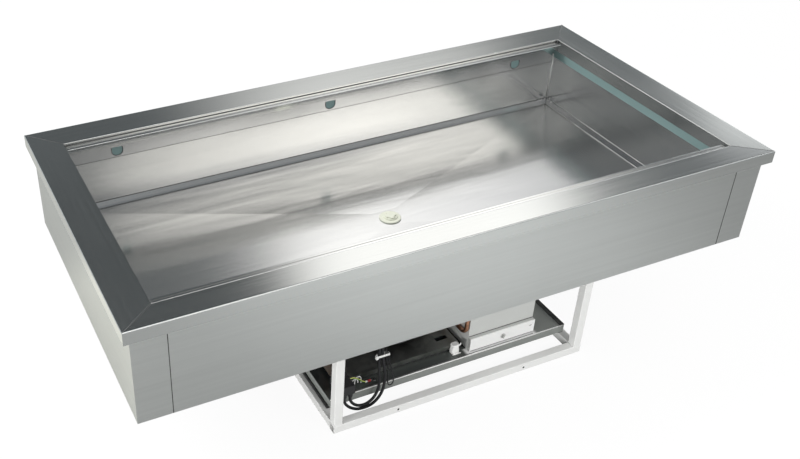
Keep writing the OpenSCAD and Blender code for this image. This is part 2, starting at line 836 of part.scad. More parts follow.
module drain_plug() {
    top = drain_z + drain_flange_t;
    skirt_h = 22;
    color("ivory") translate([0, tank_mid, top]) difference() {
        union() {
            cylinder(h = 2, d = drain_bore + 4);
            translate([0, 0, 2]) cylinder(h = 2.4, d = plug_cap_d);
            translate([0, 0, -skirt_h]) cylinder(h = skirt_h, d = drain_bore - 2 * plug_clear);
        }
        translate([0, 0, -skirt_h - 1]) cylinder(h = skirt_h, d = drain_bore - 5);
        for (a = [0 : 90 : 270]) rotate([0, 0, a + 45]) translate([plug_cap_d / 2 - 1.2, 0, 3.5])
            cube([3.2, 9, 2.2], center = true);
    }
}

// Frame tubes
module tube_bar(len) {
    linear_extrude(len) difference() {
        rounded(tube, tube, tube_r);
        translate([tube_wall, tube_wall])
            square([tube - 2 * tube_wall, tube - 2 * tube_wall]);
    }
}
module tube_x(x, y, z, len) {
    color(white) translate([x, y, z]) rotate([90, 0, 90]) tube_bar(len);
}
module tube_y(x, y, z, len) {
    color(white) translate([x + tube, y, z]) rotate([90, 0, 180]) tube_bar(len);
}
module post(x, y) {
    color(white) translate([x, y, tube]) tube_bar(case_z - tube);
}
module base_rail_front() {
    difference() {
        tube_x(fx0, fy0, 0, frame_w);
        for (s = [-1, 1])
            rod_y([frame_shift + s * front_hole_pitch / 2, fy0 - 1, front_hole_z],
                  tube_wall + 2, front_hole_d / 2);
    }
}
module base_rail_rear() {
    tube_x(fx0, fy1 - tube, 0, frame_w);
}
module base_rail_left() {
    tube_y(fx0, fy0 + tube, 0, frame_d - 2 * tube);
}
module base_rail_right() {
    tube_y(fx1 - tube, fy0 + tube, 0, frame_d - 2 * tube);
}
module post_front_left() {
    post(fx0, fy0);
}
module post_front_right() {
    post(fx1 - tube, fy0);
}
module post_rear_left() {
    post(fx0, fy1 - tube);
}
module post_rear_right() {
    post(fx1 - tube, fy1 - tube);
}
module top_bar_x(y) {
    difference() {
        tube_x(fx0 + tube, y, case_z - tube, frame_w - 2 * tube);
        for (p = bolt_spots()) translate([p[0], p[1], case_z - tube - 1])
            cylinder(h = tube + 2, d = frame_bolt_d + 2 * bolt_clear);
    }
}
module top_rail_front() {
    top_bar_x(fy0);
}
module top_rail_rear() {
    top_bar_x(fy1 - tube);
}
module top_rail_left() {
    tube_y(fx0, fy0 + tube, case_z - tube, frame_d - 2 * tube);
}
module top_rail_right() {
    tube_y(fx1 - tube, fy0 + tube, case_z - tube, frame_d - 2 * tube);
}

// Bolts: four hold the frame to the casing, four hold the compressor's feet
module bolt(z, head, len, d, af) {
    translate([0, 0, z]) {
        cylinder(h = head, d = af / cos(30), $fn = 6);
        cylinder(h = head + len, d = d);
    }
}
module mounting_bolts() {
    frame_z = case_z - tube - bolt_head_h;
    foot_z = base_z - base_t - foot_head_h;
    grip = base_t + grommet_h + cradle_t;
    color("silver") {
        for (p = bolt_spots()) translate([p[0], p[1], 0])
            bolt(frame_z, bolt_head_h, tube + 2 * casing_t + bolt_grip, frame_bolt_d, 10);
        for (p = foot_spots()) translate([p[0], p[1], 0]) {
            bolt(foot_z, foot_head_h, grip + 10, stud_d, 13);
            translate([0, 0, foot_z + foot_head_h + grip])
                cylinder(h = 6.5, d = 13 / cos(30), $fn = 6);
        }
    }
}

// Tray and what it rests on
module tray_strips() {
    color(black) {
        for (x = [fx0 + tube - strip_w + 2, fx1 - tube - 2])
            block([x, tray_y0 + 6, tube], [x + strip_w, -tray_y0 - 6, tube + strip_h]);
        block([tray_x1 - edge_w, tray_y0, tray_z], [tray_x1, -tray_y0, tray_z + edge_t]);
    }
}
module unit_tray() {
    color(zinc) difference() {
        block([tray_x0, tray_y0, tray_z - tray_lip], [tray_x1, -tray_y0, tray_z]);
        block([tray_x0 + tray_t, tray_y0 + tray_t, tray_z - tray_lip - 1],
              [tray_x1 - tray_t, -tray_y0 - tray_t, tray_z - tray_t]);
        translate(earth_route[len(earth_route) - 1] + [14, 0, -7]) cylinder(h = 10, d = lug_screw_d);
    }
}

// Base plate on two folded legs, slotted at its right end
module unit_base_plate() {
    color(zinc) {
        difference() {
            block([base_x0, base_y0, base_z - base_t], [base_x1, base_y1, base_z]);
            for (p = foot_spots()) translate([p[0], p[1], base_z - 5])
                cylinder(h = 10, d = stud_d + 2 * bolt_clear);
            for (k = [1, 2]) translate([base_x1 - 14 - plate_slot, base_y0 - 6 + 30 * k, base_z - 5])
                cube([plate_slot, plate_slot_w, 10]);
        }
        for (y = [base_y0, base_y1 - base_lip_t])
            block([base_x0, y, tray_z], [base_x1, y + base_lip_t, base_z - base_t]);
    }
}

function foot_spots() = [for (sx = [-1, 1], sy = [-1, 1]) [comp_x + sx * foot_x, comp_y + sy * foot_y]];

// Can with a rounded crown and a lapped seam, on its welded foot plate
module compressor() {
    color(black) {
        translate([comp_x, comp_y, shell_z]) {
            rotate_extrude() shell_profile();
            translate([0, 0, shell_h * 0.45]) cylinder(h = 5, r = shell_r + 3.5);
        }
        difference() {
            translate([comp_x - cradle_x / 2, comp_y - cradle_y / 2, comp_z])
                linear_extrude(cradle_t) rounded(cradle_x, cradle_y, 14);
            for (p = foot_spots()) translate([p[0], p[1], comp_z - 1])
                cylinder(h = cradle_t + 2, d = stud_d + 2 * bolt_clear);
        }
    }
}
module shell_profile() {
    square([shell_r - shell_foot, shell_h]);
    translate([0, shell_foot]) square([shell_r, shell_h - shell_crown - shell_foot]);
    intersection() {
        translate([shell_r - shell_foot, shell_foot]) circle(shell_foot);
        translate([shell_r - shell_foot, 0]) square(shell_foot);
    }
    intersection() {
        translate([shell_r - shell_crown, shell_h - shell_crown]) circle(shell_crown);
        translate([shell_r - shell_crown, shell_h - shell_crown]) square(shell_crown);
    }
}
module compressor_grommets() {
    color(black) for (p = foot_spots()) translate([p[0], p[1], base_z]) difference() {
        union() {
            cylinder(h = grommet_h, d = grommet_d - 5);
            cylinder(h = 4, d = grommet_d);
            translate([0, 0, grommet_h - 4]) cylinder(h = 4, d = grommet_d);
        }
        translate([0, 0, -1]) cylinder(h = grommet_h + 2, d = stud_d + 2 * bolt_clear);
    }
}
module terminal_cover() {
    x = comp_x - shell_r - cover_out;
    color(black) difference() {
        translate([x, comp_y - cover_w / 2, shell_z + cover_up]) rotate([90, 0, 90])
            linear_extrude(cover_out + shell_r / 2) rounded(cover_w, cover_h, 5);
        translate([comp_x, comp_y, 0]) cylinder(h = overall_h, r = shell_r + 0.2);
    }
}

// Condenser: one serpentine through a row of fins and two end plates
module pass_holes(r) {
    for (k = [0 : passes - 1])
        rod_y([cond_xm, cond_y0 - 5, pass_z0 + k * pass_pitch], cond_len + 10, r);
}
module condenser_fins() {
    first = cond_y0 + 8;
    pitch = (cond_len - 16 - fin_t) / (fins - 1);
    color(zinc) difference() {
        union() {
            for (i = [0 : fins - 1])
                block([cond_x0, first + i * pitch, cond_z0 + 2],
                      [cond_x1, first + i * pitch + fin_t, cond_z1 - 2]);
            for (y = [cond_y0, cond_y1 - plate_t])
                block([cond_x0, y, cond_z0], [cond_x1, y + plate_t, cond_z1]);
        }
        pass_holes(cond_tube_d / 2);
    }
}
module condenser_tube() {
    r = cond_tube_d / 2;
    over = 6;
    color(copper) {
        for (k = [0 : passes - 1]) {
            z = pass_z0 + k * pass_pitch;
            low = k == passes - 1 ? tube_stub : over;
            high = k == 0 ? tube_stub : over;
            rod_y([cond_xm, cond_y0 - low, z], cond_len + low + high, r);
            if (k < passes - 1) hairpin(k % 2 == 0 ? -1 : 1, z + pass_pitch / 2, over, r);
        }
    }
}
module hairpin(s, z, over, r) {
    y = s < 0 ? cond_y0 - over : cond_y1 + over;
    translate([cond_xm, y, z]) rotate([0, 90, 0]) rotate([0, 0, s < 0 ? 180 : 0])
        rotate_extrude(angle = 180) translate([pass_pitch / 2, 0]) circle(r);
}

// Fan: plate with a round mouth, strap behind the blades, motor on the strap
module fan_shroud() {
    x = shroud_x0;
    color(black) {
        difference() {
            block([x, cond_y0 + 10, cond_z0], [x + shroud_t, cond_y1 - 10, cond_z1]);
            rod_x([x - 1, fan_y, fan_z], shroud_t + 2, fan_r + 4);
        }
        difference() {
            rod_x([x + shroud_t, fan_y, fan_z], shroud_lip, fan_r + 5.5);
            rod_x([x + shroud_t - 1, fan_y, fan_z], shroud_lip + 2, fan_r + 4);
        }
    }
}
module motor_bracket() {
    h = strap_half;
    x0 = shroud_x0 + shroud_t;
    z0 = fan_z - strap_w / 2;
    color(zinc) difference() {
        union() {
            block([strap_x, fan_y - h, z0], [strap_x + strap_t, fan_y + h, z0 + strap_w]);
            for (s = [-1, 1]) {
                y = fan_y + s * h;
                block([x0, min(y, y - s * strap_t), z0],
                      [strap_x + strap_t, max(y, y - s * strap_t), z0 + strap_w]);
            }
        }
        rod_x([strap_x - 1, fan_y, fan_z], strap_t + 2, shaft_r + 2);
    }
}
module fan_motor() {
    color(black) difference() {
        union() {
            rod_x([motor_x0, fan_y, fan_z], motor_len, motor_r);
            rod_x([motor_x0 + motor_len, fan_y, fan_z], 6, motor_r - 12);
        }
        rod_x([motor_x0 - 1, fan_y, fan_z], 31, shaft_r + shaft_clear);
    }
}
module fan_shaft() {
    color("silver") rod_x([fan_x - 8, fan_y, fan_z], motor_x0 + 28 - fan_x + 8, shaft_r);
}
// Cambered blades cut from a tilted round shell, on a bored hub
module fan_blades() {
    bow = 60;
    color("silver") {
        difference() {
            rod_x([fan_x - 9, fan_y, fan_z], 18, hub_r);
            rod_x([fan_x - 8, fan_y, fan_z], 20, shaft_r);
        }
        for (i = [0 : blades - 1]) translate([fan_x, fan_y, fan_z]) rotate([i * 360 / blades, 0, 0])
            intersection() {
                rotate([0, 0, 32]) translate([bow, 0, 0]) difference() {
                    cylinder(h = fan_r, r = bow);
                    translate([0, 0, -1]) cylinder(h = fan_r + 2, r = bow - 1.2);
                }
                translate([-blade_w / 2, -24, hub_r - 2]) cube([blade_w, 48, fan_r]);
                difference() {
                    rod_x([-blade_w, 0, 0], 2 * blade_w, fan_r);
                    rod_x([-blade_w - 1, 0, 0], 2 * blade_w + 2, hub_r - 1);
                }
            }
    }
}

// Pipes between compressor, condenser and well
module discharge_pipe() {
    r = liquid_r;
    z = pass_z1;
    b = 12;
    x_turn = comp_x - shell_r - 24;
    color(copper) {
        rod_x([x_turn + b, comp_y, z], comp_x - shell_r - x_turn - b, r);
        elbow([x_turn + b, comp_y - b, z], [0, 0, 90], b, r);
        rod_y([x_turn, discharge_y + b, z], comp_y - discharge_y - 2 * b, r);
        elbow([x_turn - b, discharge_y + b, z], [0, 0, -90], b, r);
        rod_x([cond_xm + b, discharge_y, z], x_turn - cond_xm - 2 * b, r);
        elbow([cond_xm + b, discharge_y + b, z], [0, 0, 180], b, r);
        rod_y([cond_xm, discharge_y + b, z], cond_y0 - tube_stub - discharge_y - b, r);
    }
}
module liquid_pipe() {
    r = liquid_r;
    z = pass_z0;
    b = 12;
    color(copper) {
        rod_y([cond_xm, cond_y1 + tube_stub, z], liquid_y - b - cond_y1 - tube_stub, r);
        elbow([cond_xm + b, liquid_y - b, z], [0, 0, 90], b, r);
        rod_x([cond_xm + b, liquid_y, z], drier_x0 - cond_xm - b, r);
        rod_x([drier_x0 + drier_len, liquid_y, z], riser_x - b - drier_x0 - drier_len, r);
        elbow([riser_x - b, liquid_y, z + b], [90, 90, 0], b, r);
        rise_into_casing(riser_x, liquid_y, z + b, r);
    }
}

// Up through the bottom panel, then rearward to meet the evaporator's tail
module rise_into_casing(x, y, z, r) {
    translate([x, y, z]) cylinder(h = low_z - low_bend - z, r = r);
    elbow([x, y + low_bend, low_z - low_bend], [90, 0, -90], low_bend, r);
    rod_y([x, y + low_bend, low_z], joint_y - y - low_bend, r);
}
module filter_drier() {
    taper = 14;
    color(copper) translate([drier_x0, liquid_y, pass_z0]) rotate([0, 90, 0]) {
        cylinder(h = taper, r1 = liquid_r + 1, r2 = drier_r);
        translate([0, 0, taper]) cylinder(h = drier_len - 2 * taper, r = drier_r);
        translate([0, 0, drier_len - taper]) cylinder(h = taper, r1 = drier_r, r2 = liquid_r + 1);
    }
}
module suction_pipe() {
    r = suction_r;
    z = suction_run_z;
    b = pipe_bend;
    x0 = comp_x + shell_r;
    color(copper) {
        rod_x([x0, comp_y, z], suction_x - b - x0, r);
        elbow([suction_x - b, comp_y - b, z], [0, 0, 0], b, r);
        rod_y([suction_x, suction_y + b, z], comp_y - suction_y - 2 * b, r);
        elbow([suction_x, suction_y + b, z + b], [0, 90, 180], b, r);
        rise_into_casing(suction_x, suction_y, z + b, r);
    }
}

// Control box: open-fronted case with a lip behind the cover's strip
module control_box() {
    t = box_t;
    color(zinc) difference() {
        block([box_x0, box_y0, box_z0], [box_x1, box_y1, box_z1]);
        block([box_x0 + t, box_y0 + t, box_z0 + t], [box_x1 - t, box_y1 - t, box_z1 - t]);
        block([box_x0 + 10, box_y0 - 1, strip_z1 - 4], [box_x1 - 10, box_y0 + t + 1, box_z1 - 10]);
        block([pin_x - cam_w / 2 - slot_clear, box_y0 - 1, pin_z - cam_h / 2 - slot_clear],
              [pin_x + cam_w / 2 + slot_clear, box_y0 + t + 1, pin_z + cam_h / 2 + slot_clear]);
    }
    control_rail();
}

// Mounting rail on the box's back wall with a relay and a row of terminals
module control_rail() {
    back = box_y1 - box_t;
    z = (box_z0 + box_z1) / 2;
    color(zinc) {
        block([box_x0 + 15, back - 8, z - 12], [box_x1 - 15, back, z + 12]);
        translate([box_x0 + 28, back - 8 - relay_d, z - relay_h / 2]) cube([relay_w, relay_d, relay_h]);
        for (i = [0 : 4]) translate([box_x0 + 88 + 11 * i, back - 44, z - 22]) cube([10, 37, 44]);
    }
}
// Cover: flat front, lapped over the box at the top, stepped out at the foot
module control_box_cover() {
    t = box_t;
    top = box_z1 + cover_gap;
    color(zinc) difference() {
        union() {
            block([box_x0, cover_y - t, strip_z1 - t], [box_x1, cover_y, top + t]);
            block([box_x0, cover_y - t, top], [box_x1, box_y0 + cover_lap, top + t]);
            block([box_x0, strip_y - t, strip_z1 - t], [box_x1, cover_y, strip_z1]);
            block([box_x0, strip_y - t, strip_z0], [box_x1, strip_y, strip_z1]);
        }
        rod_y([pin_x, strip_y - t - 1, pin_z], t + 2, pin_r + pin_clear);
        block([box_x1 - 14, strip_y - t - 1, pin_z + 2], [box_x1 - 7, strip_y + 1, pin_z + 5]);
    }
}
// Turn fastener: wing outside, pin through the strip, cam behind the box lip
module turn_fastener() {
    head_y = strip_y - box_t - 2.2;
    cam_y = box_y0 + box_t + 0.4;
    color("silver") {
        rod_y([pin_x, head_y, pin_z], 2, 6);
        rod_y([pin_x, head_y + 1, pin_z], cam_y - head_y, pin_r);
        block([pin_x - 1, head_y - 3, pin_z - 5.5], [pin_x + 1, head_y + 1, pin_z + 5.5]);
        block([pin_x - cam_w / 2, cam_y, pin_z - cam_h / 2],
              [pin_x + cam_w / 2, cam_y + 1.5, pin_z + cam_h / 2]);
    }
}

// Black box over the tray's front left corner, cables enter from below
module terminal_box() {
    color(black) {
        translate([term_x0, term_y1, term_z0]) rotate([90, 0, 0]) linear_extrude(term_y1 - term_y0)
            rounded(term_w, term_h, 3);
        block([term_x0 + 4, tray_y0 + 3, tray_z], [term_x0 + term_w - 4, term_y1 - 2, term_z0 + 4]);
    }
}
module gland(x, z, len, d) {
    translate([x, cable_y, z - len]) {
        cylinder(h = len, d = d);
        translate([0, 0, len / 2]) cylinder(h = len / 2, d = d + 2, $fn = 6);
    }
}
module cable_glands() {
    top = case_z + casing_t;
    color(black) {
        for (p = [outer_route, inner_route]) {
            gland(p[0][0], top, top - p[0][2], gland_d);
            gland(p[len(p) - 1][0], term_z0, term_z0 - p[len(p) - 1][2], gland_d);
        }
        gland(thin_route[0][0], top, top - thin_route[0][2], 6);
    }
}
module cable_tie() {
    half = cable_d / 2 + 1.2;
    x0 = inner_route[7][0] - cable_d / 2 - tie_room;
    x1 = thin_route[len(thin_route) - 1][0] + thin_d / 2 + tie_room;
    lo = [x0, cable_y - half, tie_z - tie_h / 2];
    hi = [x1, cable_y + half, tie_z + tie_h / 2];
    color(white) {
        difference() {
            block(lo, hi);
            block(lo + [1, 1, -1], hi - [1, 1, -1]);
        }
        block([x0 - 5, cable_y - half - 1.5, tie_z - 4], [x0, cable_y - half + 4, tie_z + 4]);
    }
}
module cable_outer() {
    color(black) cable(outer_route, cable_d, 8);
}
module cable_inner() {
    color(black) cable(inner_route, cable_d, 8);
}
module thin_lead() {
    color(black) cable(thin_route, thin_d, 8);
}
module earth_wire() {
    color("yellowgreen") cable(earth_route, earth_d, 8);
}

// Ring terminal: sleeve on the wire, ring and screw on the tray
module earth_lug() {
    p = earth_route[len(earth_route) - 1];
    ring_x = p[0] + 14;
    color("silver") {
        rod_x(p, 8, sleeve_d / 2);
        block([p[0] + 7, p[1] - 2.5, tray_z], [ring_x, p[1] + 2.5, tray_z + 1]);
        block([p[0] + 7, p[1] - 1.5, tray_z], [p[0] + 8, p[1] + 1.5, p[2]]);
        translate([ring_x, p[1], tray_z]) cylinder(h = 1, r = 4.5);
        translate([ring_x, p[1], tray_z - tray_t]) cylinder(h = tray_t + 2, d = lug_screw_d);
        translate([ring_x, p[1], tray_z + 1]) cylinder(h = 2.6, d = 7);
    }
}

rim_front();
rim_rear();
rim_left();
rim_right();
front_support_rail();
rear_support_rail();
thermal_break();
tank();
evaporator_coil();
insulation();
front_panel();
rear_panel();
left_end_panel();
right_end_panel();
bottom_panel();
drain_outlet();
drain_gasket();
drain_lock_nut();
drain_plug();
base_rail_front();
base_rail_rear();
base_rail_left();
base_rail_right();
post_front_left();
post_front_right();
post_rear_left();
post_rear_right();
top_rail_front();
top_rail_rear();
top_rail_left();
top_rail_right();
mounting_bolts();
tray_strips();
unit_tray();
unit_base_plate();
compressor();
compressor_grommets();
terminal_cover();
condenser_fins();
condenser_tube();
fan_shroud();
motor_bracket();
fan_motor();
fan_shaft();
fan_blades();
discharge_pipe();
liquid_pipe();
filter_drier();
suction_pipe();
control_box();
control_box_cover();
turn_fastener();
terminal_box();
cable_glands();
cable_tie();
cable_outer();
cable_inner();
thin_lead();
earth_wire();
earth_lug();
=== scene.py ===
"""Looks of the refrigerated drop-in well, in the frame of its CAD model: the camera, the
cords, the finishes, the small pieces that are too fine for the CAD, and the studio."""

import math
import random

import bmesh
import bpy
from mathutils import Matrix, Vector


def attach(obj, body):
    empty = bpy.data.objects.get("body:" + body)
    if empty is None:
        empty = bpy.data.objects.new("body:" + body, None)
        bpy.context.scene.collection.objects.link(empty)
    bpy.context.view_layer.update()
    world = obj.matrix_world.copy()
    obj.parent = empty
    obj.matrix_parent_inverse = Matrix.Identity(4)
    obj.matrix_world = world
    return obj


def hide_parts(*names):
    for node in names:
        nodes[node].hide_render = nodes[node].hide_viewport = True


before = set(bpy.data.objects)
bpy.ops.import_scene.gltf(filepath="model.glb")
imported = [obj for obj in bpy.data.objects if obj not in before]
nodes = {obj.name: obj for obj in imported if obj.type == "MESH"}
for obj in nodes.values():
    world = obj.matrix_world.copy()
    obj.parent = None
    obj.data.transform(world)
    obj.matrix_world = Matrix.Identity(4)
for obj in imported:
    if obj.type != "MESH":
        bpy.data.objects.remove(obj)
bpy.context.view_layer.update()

# Places on the part, in millimetres
rim_top = 495.0
rim_inner_x, rim_inner_front, rim_inner_rear = 632.9, -300.4, 282.4
rail_end = 628
wall_right, wall_rear = 633.6, 291.1
band_top = 327.0
band_run = 9.6
casing_front, casing_foot, casing_seam = -341.5, 274, 620.5
tray_front = -221.2
base_front, base_middle_x, base_middle_z = -260.5, 54, 10
cord_plane = -236


# Camera
def make_camera():
    """The camera that took the picture, solved from the rim's corners."""
    data = bpy.data.cameras.new("view")
    data.lens = 45.892
    data.sensor_fit = "HORIZONTAL"
    data.sensor_width = 36
    data.shift_x = 0.1624
    data.shift_y = -0.01095
    data.clip_start = 0.05
    data.clip_end = 60
    camera = bpy.data.objects.new("view", data)
    above_rim = 1.07263
    camera.location = (-0.98145, -1.59783, rim_top / 1000 + above_rim)
    camera.rotation_euler = (0.9718, 0.0059, -0.4160)
    bpy.context.collection.objects.link(camera)
    bpy.context.scene.camera = camera


make_camera()


# Meshes
def metres(points):
    """Vectors in metres from points in millimetres."""
    return [Vector(p) / 1000 for p in points]


def curve_through(points, steps):
    """Points on a smooth line through the given ones, with that many to a span."""
    ends = [2 * points[0] - points[1]] + points + [2 * points[-1] - points[-2]]
    line = []
    for a, b, c, d in zip(ends, ends[1:], ends[2:], ends[3:]):
        square = 2 * a - 5 * b + 4 * c - d
        cube = 3 * b - a - 3 * c + d
        for i in range(steps):
            t = i / steps
            line.append(0.5 * (2 * b + (c - a) * t + square * t**2 + cube * t**3))
    return line + [points[-1]]


def skin(name, mesh, rings):
    """An object from rings of points: smooth round its sides and closed at its ends."""
    sides = len(rings[0])
    for lower, upper in zip(rings, rings[1:]):
        for k in range(sides):
            n = (k + 1) % sides
            mesh.faces.new((lower[k], lower[n], upper[n], upper[k])).smooth = True
    mesh.faces.new(rings[0][::-1])
    mesh.faces.new(rings[-1])
    return object_from(name, mesh)


def object_from(name, mesh):
    data = bpy.data.meshes.new(name)
    mesh.to_mesh(data)
    mesh.free()
    obj = bpy.data.objects.new(name, data)
    bpy.context.collection.objects.link(obj)
    return obj


def tube(name, line, radii, sides=14):
    """A tube swept along a line without twist. Radii is one for all points, or one each."""
    mesh = bmesh.new()
    if not isinstance(radii, list):
        radii = [radii] * len(line)
    across = None
    rings = []
    for i, (point, r) in enumerate(zip(line, radii)):
        along = (line[min(i + 1, len(line) - 1)] - line[max(i - 1, 0)]).normalized()
        if across is None:
            upright = abs(along.y) >= 0.9
            across = Vector((0, 0, 1) if upright else (0, 1, 0)).cross(along)
        across = (across - across.dot(along) * along).normalized()
        other = along.cross(across)
        angles = [2 * math.pi * k / sides for k in range(sides)]
        rings.append([
            mesh.verts.new(point + r * (math.cos(a) * across + math.sin(a) * other)) for a in angles
        ])
    return skin(name, mesh, rings)


# Cords, whose routes repeat those of the part's source
def hanging(pairs):
    """A route in the plane where the cords hang, from x and z in millimetres."""
    return metres([(x, cord_plane, z) for x, z in pairs])


outer_route = hanging([
    (-132, 269), (-132, 254), (-132, 236), (-133, 216), (-134, 196), (-135, 176), (-135, 156),
    (-133, 138), (-129, 118), (-126, 98), (-124, 78), (-125, 60), (-128, 44), (-135, 29), (-146, 17),
    (-159, 11), (-172, 10), (-186, 12), (-199, 19), (-209, 28), (-216, 38), (-220, 49), (-220, 59),
])
inner_route = hanging([
    (-148, 269), (-148, 254), (-148, 236), (-147, 216), (-145, 196), (-143, 176), (-142, 156),
    (-142, 138), (-141, 118), (-139, 98), (-138, 78), (-138, 60), (-141, 46), (-148, 32), (-158, 23),
    (-170, 19), (-183, 21), (-194, 28), (-202, 38), (-206, 49), (-206, 59),
])
thin_route = hanging([
    (-117, 270), (-117, 260), (-118, 240), (-120, 220), (-123, 200), (-126, 180), (-127, 160),
    (-125, 140), (-121, 120), (-118, 100), (-117, 80), (-117, 65), (-115, 56), (-110, 52), (-105, 55),
    (-103, 63), (-105, 77), (-109, 93), (-113, 110), (-118, 128), (-121, 142), (-122, 152),
])
earth_route = metres([
    (-200, -214, 84), (-197, -214, 84), (-194, -214, 84), (-190, -213.5, 83), (-187, -213, 82),
    (-183, -212.5, 79), (-180, -212, 77), (-176, -211, 73), (-173, -210, 70), (-169, -209, 66),
    (-166, -208, 62), (-162, -207, 58), (-159, -206, 55), (-155, -205.5, 52), (-152, -205, 51),
    (-148, -205, 50), (-145, -205, 50),
])


def make_cord(name, route, diameter, stiffness, lay, *with_pieces):
    obj = tube(name + "_jacket", curve_through(route, 4), diameter / 2)
    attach(obj, "well")
    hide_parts(name)
    return obj


cords = {
    "cable_outer": make_cord("cable_outer", outer_route, 0.0065, "medium", "hanging", "cable_tie"),
    "cable_inner": make_cord("cable_inner", inner_route, 0.0065, "medium", "hanging"),
    "thin_lead": make_cord("thin_lead", thin_route, 0.0026, "limp", "hanging"),
    "earth_wire": make_cord("earth_wire", earth_route, 0.0028, "limp", "loose", "earth_lug"),
}


# Shader sums
class Sock:
    """An output of a shader node that takes part in sums."""

    def __init__(self, tree, out):
        self.tree, self.out = tree, out

    def op(self, kind, *rest, first=None):
        n = self.tree.nodes.new("ShaderNodeMath")
        n.operation = kind
        terms = (self,) + rest if first is None else (first, self) + rest
        for socket, value in zip(n.inputs, terms):
            join(self.tree, value, socket)
        return Sock(self.tree, n.outputs[0])

    def __add__(self, v):
        return self.op("ADD", v)

    __radd__ = __add__

    def __sub__(self, v):
        return self.op("SUBTRACT", v)

    def __rsub__(self, v):
        return self.op("SUBTRACT", first=v)

    def __mul__(self, v):
        return self.op("MULTIPLY", v)

    __rmul__ = __mul__

    def __abs__(self):
        return self.op("ABSOLUTE")


def join(tree, value, socket):
    """Links a shader output to a socket, or sets the socket to a plain value."""
    if isinstance(value, Sock):
        tree.links.new(value.out, socket)
    elif socket.type == "RGBA":
        socket.default_value = (*value, 1)
    else:
        socket.default_value = value


class Shade:
    """One node tree being built, with the few calls that its users share."""

    def __init__(self, tree):
        self.tree = tree
        tree.nodes.clear()

    def node(self, kind, out=0, settings=(), **inputs):
        """Adds a node and gives one of its outputs. Its inputs are given by name, with _
        for a space, or by place, as i0, i1 and so on."""
        n = self.tree.nodes.new("ShaderNode" + kind)
        for key, value in dict(settings).items():
            setattr(n, key, value)
        for key, value in inputs.items():
            name = key.replace("_", " ")
            socket = next((s for s in n.inputs if s.name == name and s.enabled), None)
            join(self.tree, value, n.inputs[int(key[1:])] if socket is None else socket)
        return Sock(self.tree, n.outputs[out]) if len(n.outputs) else None

    def place(self):
        return self.node("TexCoord", "Object")

    def facing_up(self, low, high):
        """Rises from 0 to 1 as the surface turns to face up."""
        return self.ramp(self.part(self.node("TexCoord", "Normal"), "Z"), low, high)

    def part(self, vector, axis):
        return self.node("SeparateXYZ", axis, Vector=vector)

    def parts(self, vector):
        return [self.part(vector, axis) for axis in "XYZ"]

    def noise(self, vector, scale, detail=2.0, rough=0.5, warp=0.0):
        return self.node(
            "TexNoise", 0, Vector=vector, Scale=scale, Detail=detail, Roughness=rough, Distortion=warp
        )

    def drawn(self, vector, grain, detail=2.0, rough=0.5, warp=0.0):
        """Noise drawn out along the axes whose grain is small."""
        place = self.node("VectorMath", 0, {"operation": "MULTIPLY"}, i0=vector, i1=grain)
        return self.noise(place, 1.0, detail, rough, warp)

    def ramp(self, value, low, high, out_low=0.0, out_high=1.0):
        """Goes smoothly from one level to the other while the value goes from low to high."""
        return self.node(
            "MapRange", 0, {"interpolation_type": "SMOOTHSTEP"}, Value=value,
            From_Min=low, From_Max=high, To_Min=out_low, To_Max=out_high,
        )

    def fall(self, value, low, high, rest=0.0):
        """Goes from 1 down to rest while the value goes from low to high."""
        return self.ramp(value, low, high, 1.0, rest)

    def mix(self, factor, a, b):
        return self.node("Mix", 2, {"data_type": "RGBA"}, i0=factor, i6=a, i7=b)

    def blend(self, factor, a, b):
        return self.node("Mix", 0, {"data_type": "FLOAT"}, i0=factor, i2=a, i3=b)

    def bump(self, height, strength, distance, below=None):
        under = {"Normal": below} if below else {}
        return self.node("Bump", 0, Height=height, Strength=strength, Distance=distance, **under)


class Material(Shade):
    """A new material with an empty tree."""

    def __init__(self, name):
        self.material = bpy.data.materials.new(name)
        self.material.use_nodes = True
        super().__init__(self.material.node_tree)


class Finish(Material):
    """A material of one surface shader, whose sockets are set by name."""

    def __init__(self, name, **fixed):
        super().__init__(name)
        surface = self.node("BsdfPrincipled")
        self.node("OutputMaterial", Surface=surface)
        self.sockets = surface.out.node.inputs
        self.set(**fixed)

    def set(self, **inputs):
        for key, value in inputs.items():
            join(self.tree, value, self.sockets[key.replace("_", " ")])
        return self


# Finishes, with places in metres
def steel(name, grain, colour=(0.735, 0.745, 0.735), rough=0.14, wave=0.0, depth=0.00003,
          painted_corner_shade=0.0):
    """Brushed stainless sheet. Grain draws noise out into brush lines, wave swells the
    sheet, and the corner shade is painted shade, darkening its top towards the front
    right corner."""
    f = Finish(name, Metallic=1.0)
    p = f.place()
    lines = f.drawn(p, grain)
    cloud = f.noise(p, 5.0, 3, 0.55)
    darker = [c * 0.9 for c in colour]
    paler = [min(1, c * 1.08) for c in colour]
    tone = f.mix(lines * 0.6 + cloud * 0.4, darker, paler)
    if painted_corner_shade:
        # Painted shade: the top is darkened towards the front right corner.
        corner = f.ramp(f.part(p, "X"), 0.36, 0.56) * f.fall(f.part(p, "Y"), -0.3, -0.29)
        tone = f.mix(corner * f.facing_up(0.8, 0.9) * painted_corner_shade, tone, (0.3, 0.31, 0.33))
    f.set(Base_Color=tone, Roughness=rough + (lines - 0.5) * 0.06 + (cloud - 0.5) * 0.03)
    brushed = f.bump(lines, 0.5, depth)
    if wave:
        swell = f.drawn(p, (1.6, 3, 3), 1, 0.4)
        brushed = f.bump(swell, wave, 0.002, brushed)
    return f.set(Normal=brushed).material


